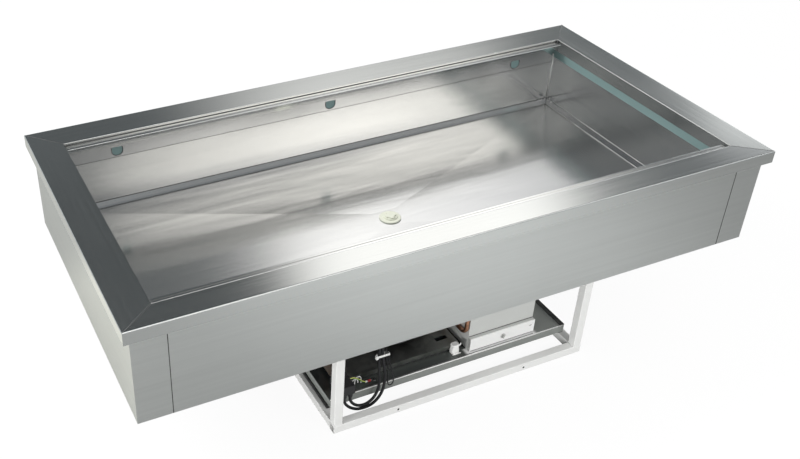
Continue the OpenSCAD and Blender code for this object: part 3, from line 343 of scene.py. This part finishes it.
def tank_steel():
    """The tank's sheet. Its grain is level along the walls and along X on the floor. Shade
    is painted into its colour, darkening it at the rear wall's foot and above that wall's
    lap, in the sloped band round the floor, and on the floor's front right."""
    f = Finish("tank_steel", Metallic=1.0)
    p = f.place()
    x, y, z = f.parts(p)
    level = abs(f.part(f.node("TexCoord", "Normal"), "Z"))
    flat = f.ramp(level, 0.8, 0.9)
    slope = f.ramp(level, 0.6, 0.66) * f.fall(level, 0.76, 0.82)
    lines = f.blend(flat, f.drawn(p, (2, 2, 130)), f.drawn(p, (1.5, 110, 110)))
    cloud = f.drawn(p, (2, 5, 5), 3, 0.6, 0.5)
    drift = cloud - 0.5

    on_rear = f.ramp(y, wall_rear / 1000 - 0.0006, wall_rear / 1000 + 0.0001)
    foot = on_rear * f.fall(z + drift * 0.012, 0.322, 0.372) * f.fall(x, 0.0, 0.4, 0.3)
    lap = on_rear * f.ramp(z, 0.4308, 0.4312) * f.fall(x, -0.6, 0.1, 0.35)
    band = slope * f.fall(z, 0.317, 0.3215, 0.25) * f.fall(x, -0.2, 0.6, 0.4)
    right_band = slope * f.ramp(x, 0.612, 0.616)
    front_right = flat * f.fall(y + drift * 0.3, -0.08, 0.18) * f.ramp(x + drift * 0.4, -0.25, 0.3)
    # Painted shade: the darkest of these patches darkens the colour below.
    painted_shade = foot * 0.6
    for patch in (lap * 0.4, band * 0.6, right_band * 0.55, front_right * 0.55):
        painted_shade = painted_shade.op("MAXIMUM", patch)

    bright = f.mix(lines * 0.5 + cloud * 0.5, (0.77, 0.775, 0.775), (0.89, 0.893, 0.89))
    on_floor = f.ramp(x, 0.05, 0.5, 0.19, 0.245)
    f.set(
        Base_Color=f.mix(painted_shade * 0.8, bright, (0.36, 0.37, 0.4)),
        Roughness=f.blend(flat, 0.15, on_floor) + (lines - 0.5) * 0.05 + slope * 0.1,
    )
    brushed = f.bump(lines, 0.5, 0.00004)
    wall_swell = f.drawn(p, (3, 6, 6), 1, 0.4, 0.3)
    floor_swell = f.drawn(p, (2.2, 15, 15), 2, 0.5, 0.4) * 0.6
    return f.set(Normal=f.bump(f.blend(flat, wall_swell, floor_swell), 0.4, 0.004, brushed)).material


def galvanised():
    """Dull sheet with zinc crystals of several greys."""
    f = Finish("galvanised_sheet", Metallic=1.0)
    p = f.place()
    crystals = f.part(f.node("TexVoronoi", "Color", Vector=p, Scale=70.0), "X")
    cloud = f.noise(p, 9.0, 4, 0.6)
    return f.set(
        Base_Color=f.mix(crystals * 0.6 + cloud * 0.4, (0.42, 0.43, 0.41), (0.62, 0.63, 0.6)),
        Roughness=0.36 + crystals * 0.1 + (cloud - 0.5) * 0.12,
        Normal=f.bump(cloud, 0.3, 0.0008),
    ).material


def zinc():
    f = Finish("bright_zinc", Metallic=1.0)
    p = f.place()
    cloud = f.noise(p, 60.0, 3, 0.6)
    return f.set(
        Base_Color=f.mix(cloud, (0.66, 0.67, 0.66), (0.86, 0.86, 0.84)),
        Roughness=0.22 + (cloud - 0.5) * 0.2,
        Normal=f.bump(f.noise(p, 900.0), 0.2, 0.00005),
    ).material


def plain(name, colour, rough, metal=0.0, grain=700.0, depth=0.00012, vary=0.1, dust=0.0):
    """Paint, plastic or rubber, with a fine skin, patches in its gloss and a little dust."""
    f = Finish(name, Metallic=metal)
    p = f.place()
    patch = f.noise(p, 14.0, 4, 0.6)
    fine = f.noise(p, grain, 3, 0.5)
    darker = [c * (1 - vary) for c in colour]
    paler = [min(1, c * (1 + vary)) for c in colour]
    tone = f.mix(patch, darker, paler)
    if dust:
        lying = f.ramp(f.part(f.node("TexCoord", "Normal"), "Z"), 0.2, 1.0, 0.15, 1.0)
        specks = f.ramp(f.noise(p, 40.0, 5, 0.7), 0.4, 0.8)
        tone = f.mix(lying * specks * dust, tone, (0.32, 0.31, 0.29))
    return f.set(
        Base_Color=tone,
        Roughness=rough + (patch - 0.5) * 0.16 + (fine - 0.5) * 0.06,
        Normal=f.bump(fine, 0.5, depth),
    ).material


def copper():
    f = Finish("drawn_copper", Metallic=1.0)
    p = f.place()
    stain = f.noise(p, 30.0, 5, 0.65)
    return f.set(
        Base_Color=f.mix(f.ramp(stain, 0.35, 0.7), (0.82, 0.44, 0.28), (0.4, 0.2, 0.13)),
        Roughness=0.28 + stain * 0.18,
        Normal=f.bump(f.noise(p, 500.0), 0.15, 0.0001),
    ).material


def foam():
    """Cut foam, painted black as shade where it lies behind the casing's seams."""
    f = Finish("poured_foam", Roughness=0.9)
    p = f.place()
    x, y = f.part(p, "X"), f.part(p, "Y")
    cells = f.node("TexVoronoi", "Distance", Vector=p, Scale=420.0)
    cut = f.mix(f.noise(p, 12.0, 4), (0.8, 0.72, 0.46), (0.88, 0.82, 0.6))
    # Painted shade: the foam's faces by the casing are painted black, so the seams look dark.
    painted_seam_shade = f.ramp(abs(y), 0.325, 0.33).op("MAXIMUM", f.ramp(abs(x), 0.665, 0.67))
    return f.set(
        Base_Color=f.mix(painted_seam_shade, cut, (0.02, 0.02, 0.02)),
        Normal=f.bump(cells, 0.6, 0.001),
    ).material


def tray_sheet():
    """Smooth galvanised sheet, with painted shade under the machinery and a painted white
    reflection before the control box."""
    f = Finish("tray_sheet")
    p = f.place()
    x, y, z = f.parts(p)
    cloud = f.drawn(p, (4, 9, 9), 4, 0.6)
    left_of_box_end = f.fall(x + (cloud - 0.5) * 0.02, 0.272, 0.284)
    top = left_of_box_end * f.ramp(z, 0.045, 0.047)
    # Painted reflection: before the control box the top is painted white and not metallic.
    painted_reflection_before_box = f.ramp(x, 0.09, 0.1) * f.fall(y, -0.2, -0.198)
    sheet = f.mix(cloud, (0.34, 0.36, 0.34), (0.42, 0.44, 0.42))
    # Painted shade: under the machinery the top is painted dark, darkest towards the rear.
    painted_machinery_shade = f.mix(f.ramp(y, -0.2, -0.185), (0.1, 0.11, 0.105), (0.04, 0.045, 0.045))
    top_tone = f.mix(painted_reflection_before_box, painted_machinery_shade, (0.95, 0.95, 0.94))
    return f.set(
        Metallic=0.35 - top * painted_reflection_before_box * 0.35,
        Base_Color=f.mix(top, sheet, top_tone),
        Roughness=0.24 + (cloud - 0.5) * 0.08,
        Normal=f.bump(f.noise(p, 400.0), 0.1, 0.00005),
    ).material


def cover_sheet():
    """Pale coated sheet of the control box and its cover, with painted light on the cover's strip."""
    f = Finish("pale_cover_sheet", Metallic=0.2)
    p = f.place()
    cloud = f.noise(p, 16.0, 4, 0.6)
    # Painted light: the strip of the same sheet is painted near white, paler than the rest.
    strip = f.fall(f.part(p, "Y"), -0.2119, -0.2117)
    sheet = f.mix(cloud, (0.6, 0.61, 0.59), (0.68, 0.69, 0.67))
    return f.set(
        Base_Color=f.mix(strip, sheet, (0.97, 0.97, 0.96)),
        Roughness=0.34 + (cloud - 0.5) * 0.1,
        Normal=f.bump(cloud, 0.1, 0.0004),
    ).material


def frame_paint():
    """White powder coat. The tube's inside, where it shows through the two screw holes of
    the front base rail, is painted dark as shade, in a box round the middle of that tube."""
    f = Finish("white_powder_coat")
    p = f.place()
    x, y, z = f.parts(p)
    patch = f.noise(p, 9.0, 4, 0.6)
    fine = f.noise(p, 1100.0, 3, 0.5)
    across = f.fall(abs(y - base_front / 1000), 0.0088, 0.0094)
    upright = f.fall(abs(z - base_middle_z / 1000), 0.0088, 0.0094)
    # Painted shade: the tube's inside is painted near black where it shows through the holes.
    painted_shade_inside = across * upright * f.fall(abs(x - base_middle_x / 1000), 0.18, 0.19)
    coat = f.mix(patch, (0.79, 0.79, 0.775), (0.84, 0.84, 0.825))
    return f.set(
        Base_Color=f.mix(painted_shade_inside, coat, (0.02, 0.02, 0.02)),
        Roughness=0.4 + (patch - 0.5) * 0.14 + (fine - 0.5) * 0.06,
        Normal=f.bump(fine, 0.5, 0.0001),
    ).material


def earth_insulation():
    """Green, with a yellow stripe along its top."""
    f = Finish("green_and_yellow")
    return f.set(
        Base_Color=f.mix(f.facing_up(0.1, 0.3), (0.1, 0.3, 0.05), (0.72, 0.72, 0.2)),
        Roughness=0.4 + f.noise(f.place(), 300.0) * 0.1,
    ).material


finishes = {
    # The front and rear rims carry painted shade towards the front right corner.
    "along_x": steel("stainless_along_x", (2, 150, 150), painted_corner_shade=0.4),
    # Painted light: the side rims get a paler colour than the same steel of the front and rear rims.
    "along_y": steel("stainless_along_y", (150, 2, 150), colour=(0.8, 0.81, 0.8)),
    "level": steel("stainless_panel", (2, 2, 150), rough=0.3, wave=0.15),
    "rail": steel("stainless_rail", (2, 150, 150), colour=(0.82, 0.825, 0.82), depth=0.00001),
    "tank": tank_steel(),
    "galvanised": galvanised(),
    "zinc": zinc(),
    "frame": frame_paint(),
    "tray": tray_sheet(),
    "cover": cover_sheet(),
    # Painted shade: the bottom panel is given a near-black colour for the shade under the casing.
    "underside": plain("underside_painted_dark", (0.09, 0.095, 0.095), 0.4, metal=0.6, vary=0.2),
    # Painted highlight: the pale bend, fold and weld rods stand for the light they catch.
    "bright": plain("painted_highlight_edge", (0.93, 0.93, 0.91), 0.25, metal=0.55, vary=0.02, depth=0.00003),
    # Dark for joints, and as painted shade in gaps, grooves and notch edges.
    "line": plain("joint_and_shadow_line", (0.12, 0.12, 0.12), 0.5),
    "red": plain("red_sleeve", (0.5, 0.03, 0.04), 0.4),
    "black": plain("black_enamel", (0.02, 0.02, 0.022), 0.3, grain=800.0, dust=0.35),
    "break": plain("break_strip", (0.22, 0.32, 0.315), 0.5, vary=0.06),
    "foam": foam(),
    "copper": copper(),
    "drain": plain("drain_plastic", (0.78, 0.8, 0.68), 0.35, vary=0.05),
    "rubber": plain("black_rubber", (0.02, 0.02, 0.02), 0.65, dust=0.3),
    "plastic": plain("black_plastic", (0.025, 0.025, 0.027), 0.45, dust=0.15),
    "white": plain("white_plastic", (0.86, 0.86, 0.84), 0.35, vary=0.03),
    "fins": plain("fin_aluminium", (0.7, 0.71, 0.72), 0.35, metal=1.0, vary=0.08),
    "cable": plain("cable_jacket", (0.012, 0.012, 0.014), 0.36, grain=900.0, dust=0.1),
    "earth": earth_insulation(),
}
frame_tubes = (
    "base_rail_front base_rail_rear base_rail_left base_rail_right "
    "top_rail_front top_rail_rear top_rail_left top_rail_right "
    "post_front_left post_front_right post_rear_left post_rear_right"
)
worn_by = {
    "along_x": "rim_front rim_rear",
    "rail": "front_support_rail rear_support_rail",
    "along_y": "rim_left rim_right",
    "level": "front_panel rear_panel left_end_panel right_end_panel",
    "tank": "tank",
    "galvanised": "unit_base_plate fan_shroud motor_bracket",
    "tray": "unit_tray",
    "cover": "control_box control_box_cover",
    "underside": "bottom_panel",
    "zinc": "mounting_bolts turn_fastener earth_lug fan_shaft",
    "frame": frame_tubes,
    "black": "compressor fan_motor filter_drier",
    "break": "thermal_break",
    "foam": "insulation",
    "copper": "evaporator_coil condenser_tube discharge_pipe liquid_pipe suction_pipe",
    "drain": "drain_outlet drain_lock_nut drain_plug",
    "rubber": "drain_gasket tray_strips compressor_grommets",
    "plastic": "terminal_cover terminal_box cable_glands fan_blades",
    "white": "cable_tie",
    "fins": "condenser_fins",
    "cable": "cable_outer cable_inner thin_lead",
    "earth": "earth_wire",
}


def wear(obj, finish):
    if not obj.material_slots:
        obj.data.materials.append(finishes[finish])
    for s in obj.material_slots:
        s.material = finishes[finish]


for finish, names in worn_by.items():
    for n in names.split():
        wear(nodes[n], finish)
        if n in cords:
            wear(cords[n], finish)


# Small pieces
def piece(obj, finish, body="well"):
    wear(obj, finish)
    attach(obj, body)
    return obj


def rod(name, points, radius, finish, sides=10):
    """A thin round bar along straight runs through points in millimetres."""
    return piece(tube(name, metres(points), radius / 1000, sides), finish)


def make_bends():
    """The rounded folds of the sheet, pale as painted highlights, and its thin shadow lines, painted
    dark.
    """
    x, front, rear, top = rim_inner_x, rim_inner_front, rim_inner_rear, rim_top - 0.6
    corner_x, lap = wall_right - 0.4, wall_rear + 0.3
    edge_x, edge_z = wall_right - band_run, band_top - 9.7
    runs = {
        "bend_rim_rear": ((-x, rear, top), (x, rear, top), 0.9, "bright"),
        "bend_rim_front": ((-x, front, top), (x, front, top), 0.8, "bright"),
        "bend_rim_left": ((-x, front, top), (-x, rear, top), 0.6, "bright"),
        "bend_rim_right": ((x, front, top), (x, rear, top), 0.9, "bright"),
        "bend_front_outer": ((-699, -353.4, 494.3), (699, -353.4, 494.3), 0.8, "bright"),
        "bend_rail_nose": ((-rail_end, 262.9, 488.2), (rail_end, 262.9, 488.2), 0.9, "bright"),
        "groove_rail": ((-rail_end, 269, 488.7), (rail_end, 269, 488.7), 0.7, "line"),
        "corner_rail": ((-rail_end, 281.2, 489.4), (rail_end, 281.2, 489.4), 0.8, "line"),
        "lap_rear_wall": ((-633, lap, 431), (633, lap, 431), 0.45, "line"),
        "foot_rear_wall": ((-633, wall_rear, band_top), (633, wall_rear, band_top), 0.6, "line"),
        "foot_right_wall": ((wall_right, -309, band_top), (wall_right, 291, band_top), 0.7, "bright"),
        "floor_right_edge": ((edge_x, -299, edge_z), (edge_x, 281, edge_z), 0.7, "bright"),
        "weld_rear_right": ((corner_x, 290.6, band_top), (corner_x, 290.6, 453), 1.1, "bright"),
    }
    for name, (start, end, radius, finish) in runs.items():
        rod(name, [start, end], radius, finish)


def make_seam_shadows():
    """Black rods as painted shadow in the two seams of the casing's front."""
    y = casing_front + 0.3
    for side, x in (("left", -casing_seam), ("right", casing_seam)):
        ends = [(x, y, casing_foot + 0.5), (x, y, 467)]
        # Painted shadow: each black rod stands for the shade inside a seam.
        rod("seam_shadow_" + side, ends, 0.9, "rubber")


def make_tray_edge():
    """The fold of the tray's front, painted white as a highlight, and the line behind it."""
    fold = [(-245.5, tray_front, 47.3), (353.5, tray_front, 47.3)]
    line = [(-243, tray_front + 2.8, 48.1), (270, tray_front + 2.8, 48.1)]
    rod("bend_tray_front", fold, 1.3, "white")
    rod("tray_front_line", line, 0.8, "line")


def make_corner_gaps():
    """Dark rods as painted shade in the gaps between the support rails' ends and the rim."""
    x = rail_end + 2.2
    corners = ((-x, -297.5), (x, -297.5), (x, 279.5), (-x, 279.5))
    for i, (cx, cy) in enumerate(corners, 1):
        ends = [(cx, cy, 489.2), (cx, cy, 494.3)]
        rod(f"corner_gap_{i}", ends, 1.7, "line", 8)


def make_notch_edges():
    """The edges of the three rounded notches in the rear wall, painted dark as shade."""
    half = [(0, 435), (6, 436.2), (11, 440.5), (12.6, 446), (12.6, 455)]
    shape = [(-dx, dz) for dx, dz in half[:0:-1]] + half
    for i, x in enumerate((-517, 0, 517), 1):
        edge = curve_through(metres([(x + dx, wall_rear, dz) for dx, dz in shape]), 3)
        piece(tube(f"notch_edge_{i}", edge, 0.0008, 6), "line")


def make_weld_bits():
    """Lumps of weld at the foot of the rear right corner, on either side of it by turns."""
    random.seed(4)
    for i in range(9):
        along = random.uniform(2, 26)
        dx, dy = (along, 2) if i % 2 else (2, along)
        at = Vector((632.5 - dx, 290 - dy, band_top + random.uniform(-2, 1)))
        r = random.uniform(1.0, 1.9)
        up = Vector((0, 0, r))
        line = [at - up, at - up * 0.5, at, at + up * 0.6, at + up]
        radii = [r * k / 1000 for k in (0.5, 0.9, 1.0, 0.8, 0.3)]
        piece(tube(f"weld_bit_{i + 1}", metres(line), radii, 8), "bright")


def make_cover_gaps():
    """The shadow gaps above and below the strip of the control box cover."""
    for name, y, z in (("cover_gap_upper", -203.6, 84.4), ("cover_gap_lower", -213.0, 50.3)):
        points = metres([(105, y, z), (273, y, z)])
        piece(tube(name, points, 0.0009, 8), "line", "box_cover")


def make_mitres():
    """Thin weld lines where the rim's sections meet."""
    for i, (sx, sy) in enumerate(((-1, -1), (1, -1), (1, 1), (-1, 1)), 1):
        outer = Vector((sx * 698.5, sy * 353, rim_top))
        inner = Vector((sx * 632.5, -300 if sy < 0 else 282, rim_top))
        rod(f"mitre_{i}", [outer, inner], 0.5, "line", 6)


def make_connector():
    """White connector on the tray beside the base plate: a tapered block with two ears."""
    cx, cy = 73, -199
    sides, squareness = 24, 5
    outline = [
        (48.2, 8.5, 7), (49.5, 9.5, 8), (58, 9, 7.5), (66, 8, 6.5), (71, 8.6, 7), (72.5, 7.6, 6),
    ]
    mesh = bmesh.new()
    rings = []
    for z, width, depth in outline:
        ring = []
        for k in range(sides):
            a = 2 * math.pi * k / sides
            c, s = math.cos(a), math.sin(a)
            grow = (abs(c) ** squareness + abs(s) ** squareness) ** (-1 / squareness)
            at = Vector((cx + width * c * grow, cy + depth * s * grow, z))
            ring.append(mesh.verts.new(at / 1000))
        rings.append(ring)
    piece(skin("connector_body", mesh, rings), "white")
    for i, side in enumerate((-1, 1), 1):
        ear = metres([
            (cx + side * 8, -204, 68), (cx + side * 9.5, -205, 72), (cx + side * 11.5, -206, 76),
        ])
        piece(tube(f"connector_ear_{i}", ear, [0.0016, 0.0014, 0.0008], 8), "white")
    foot = [(cx - 9, -208, 49.6), (cx + 11, -208, 49.6)]
    rod("connector_foot", foot, 1.5, "white")


def make_earth_end():
    """Sleeves on the earth wire's end and the pale wire loops beside it."""
    sleeve = [(-153, -205.2, 51.2), (-148, -205, 50.6)]
    ferrule = [(-148, -205, 50.9), (-140.5, -205, 50.9)]
    rod("earth_sleeve", sleeve, 2.3, "white", 12)
    rod("red_ferrule", ferrule, 2.7, "red", 12)
    loops = [
        (-206, [(-187, 49.5), (-188, 60), (-184, 67), (-178, 69), (-173, 64), (-172, 57)]),
        (-202, [(-178, 49.5), (-177, 60), (-173, 68), (-167, 69), (-163, 63), (-162, 49.5)]),
    ]
    for i, (y, pairs) in enumerate(loops, 1):
        line = curve_through(metres([(x, y, z) for x, z in pairs]), 5)
        piece(tube(f"pale_loop_{i}", line, 0.0013, 8), "white")


make_bends()
make_seam_shadows()
make_tray_edge()
make_corner_gaps()
make_notch_edges()
make_weld_bits()
make_cover_gaps()
make_mitres()
make_connector()
make_earth_end()


# Studio
def make_floor():
    """Paper floor: white to the camera, grey to the steel that mirrors it. The grey has
    painted pools of light: paler right of the middle, and paler and warmer by the left end."""
    reach = 12
    pale_middle = 0.3
    corners = ((-reach, -reach), (reach, -reach), (reach, reach), (-reach, reach))
    mesh = bmesh.new()
    mesh.faces.new([mesh.verts.new((x, y, 0)) for x, y in corners])
    floor = object_from("floor", mesh)
    f = Material("floor_paper")
    p = f.place()
    x, y = f.part(p, "X"), f.part(p, "Y")
    seen = f.node("LightPath", "Is Camera Ray")
    # Painted light: the grey that the steel mirrors has pools of paler light, warm by the left end.
    painted_light_pool = f.ramp(abs(x - pale_middle), 0.1, 0.95, 0.54, 0.29)
    painted_warm_light_by_left_end = f.fall(x, -0.85, -0.72) * f.ramp(x, -1.25, -0.95) * f.fall(y, 0.4, 0.65, 0.35)
    grey = f.node("CombineColor", 0, Red=painted_light_pool * 0.975, Green=painted_light_pool, Blue=painted_light_pool * 0.99)
    mirrored = f.mix(painted_warm_light_by_left_end, grey, (0.68, 0.685, 0.625))
    paper = f.node("BsdfDiffuse", 0, Color=f.mix(seen, mirrored, (1, 1, 1)))
    glow = f.node("Emission", 0, Color=(1, 1, 1), Strength=1.0)
    glow_share = 0.93
    both = f.node("MixShader", 0, i0=seen * glow_share, i1=paper, i2=glow)
    f.node("OutputMaterial", Surface=both)
    floor.data.materials.append(f.material)


def make_world():
    """The room: white to the camera and even to matt surfaces. The steel mirrors a dark
    room with soft boxes, placed by turn, from +Y towards +X, and height, in degrees."""
    world = bpy.data.worlds.new("studio")
    world.use_nodes = True
    bpy.context.scene.world = world
    w = Shade(world.node_tree)
    x, y, z = w.parts(w.node("TexCoord", "Generated"))
    degrees = 180 / math.pi
    height = z.op("ARCSINE") * degrees
    turn = x.op("ARCTAN2", y) * degrees

    def box(left, right, bottom, top, strength, soft=(5.0, 5.0), leans=(0, 0)):
        """A soft box between two turns. It comes up over the two heights of bottom and
        goes off over those of top. Soft is how wide its left and right sides blur, and
        leans is how far each of them moves to a degree of height."""
        middle = (left + right) / 2
        off = (turn - middle + 540).op("MODULO", 360.0) - 180
        sides = [
            w.ramp(off - (edge - middle) - (height - 30) * lean, s * -0.5, s * 0.5, out, 1 - out)
            for edge, lean, s, out in ((left, leans[0], soft[0], 0.0), (right, leans[1], soft[1], 1.0))
        ]
        return sides[0] * sides[1] * w.ramp(height, *bottom) * w.fall(height, *top) * strength

    def tinted(level, tint):
        return w.node("VectorMath", 0, {"operation": "SCALE"}, i0=tint, Scale=level)

    def both(a, b):
        return w.node("VectorMath", 0, {"operation": "ADD"}, i0=a, i1=b)

    # Each box is named after the steel that shows it in the picture. Those off the ends
    # show in views from there.
    on_right_rim = box(52.6, 82, (5, 11), (26.5, 28.3), 0.94, (3, 5), (0.75, 0))
    on_floor_right = box(38, 48, (25.5, 28.5), (33, 38), 0.14, (8, 8))
    off_ends = (
        box(96, 114, (28, 36), (48, 58), 1.0)
        + box(-104, -78, (24, 34), (48, 58), 1.0)
    )
    on_rear_band = box(108, 180, (41, 46), (54, 60), 0.22, (8, 8))
    cool = on_right_rim + on_floor_right + off_ends + on_rear_band

    left_soft = 14 - (height - 27) * 0.7
    on_front_rim_and_floor = box(22.6, 41.8, (17, 35), (46, 56), 1.3, (left_soft, 6.5), (0.37, 0.81))

    on_rear_wall = (
        box(134.8, 166, (12, 20), (30, 40), 1.1, (5, 7), (-1.3, 0))
        + box(135.2, 157, (12, 20), (28, 38), 0.5, (5, 10), (-1.3, 0))
    )
    on_right_wall = (
        box(-76, -36, (14, 22), (31, 35), 0.13, (8, 8))
        + box(-76, -43, (22, 27), (31, 35), 0.07, (8, 4))
    )
    weak_fill = box(-150, -112, (12, 20), (38, 48), 0.08, (8, 8))
    on_rear_wall_end = box(-176, -144, (14, 22), (29.5, 32), 1.3, (6, 3))
    warm = on_rear_wall + on_right_wall + weak_fill + on_rear_wall_end

    dark_room = w.ramp(height, 26, 34, 0.135, 0.09)
    pale_walls = w.fall(height, 5.0, 18.0) * 0.75
    ceiling = w.ramp(height, 58.0, 75.0) * 0.6
    room = tinted(dark_room + pale_walls + ceiling, (0.9, 0.99, 1.03))
    mirrored = both(
        both(room, tinted(cool, (0.99, 1.0, 0.995))),
        both(tinted(on_front_rim_and_floor, (1.0, 0.985, 0.96)), tinted(warm, (1.0, 0.965, 0.9))),
    )
    seen = w.node("LightPath", "Is Camera Ray")
    gloss = w.node("LightPath", "Is Glossy Ray")
    colour = w.mix(seen, w.mix(gloss, (0.82, 0.82, 0.82), mirrored), (1, 1, 1))
    w.node("OutputWorld", Surface=w.node("Background", 0, Color=colour, Strength=1.0))


def make_lamp(name, place, aim, size, power):
    """A rectangular lamp that the steel doesn't mirror."""
    data = bpy.data.lights.new(name, "AREA")
    data.shape = "RECTANGLE"
    data.size, data.size_y = size
    data.energy = power
    lamp = bpy.data.objects.new(name, data)
    lamp.location = place
    lamp.visible_glossy = False
    lamp.rotation_euler = (Vector(aim) - Vector(place)).to_track_quat("-Z", "Y").to_euler()
    bpy.context.collection.objects.link(lamp)


make_floor()
make_world()
make_lamp("key", place=(-2.6, 1.4, 2.8), aim=(0, 0, 0.2), size=(1.8, 1.8), power=90)
make_lamp("front", place=(0.5, -1.9, 1.2), aim=(0.4, -0.6, 0.1), size=(0.7, 0.5), power=14)
make_lamp("low_left", place=(-1.9, -0.85, 0.3), aim=(0.3, -0.25, 0.12), size=(0.5, 0.4), power=17)

bpy.context.scene.view_settings.view_transform = "Standard"
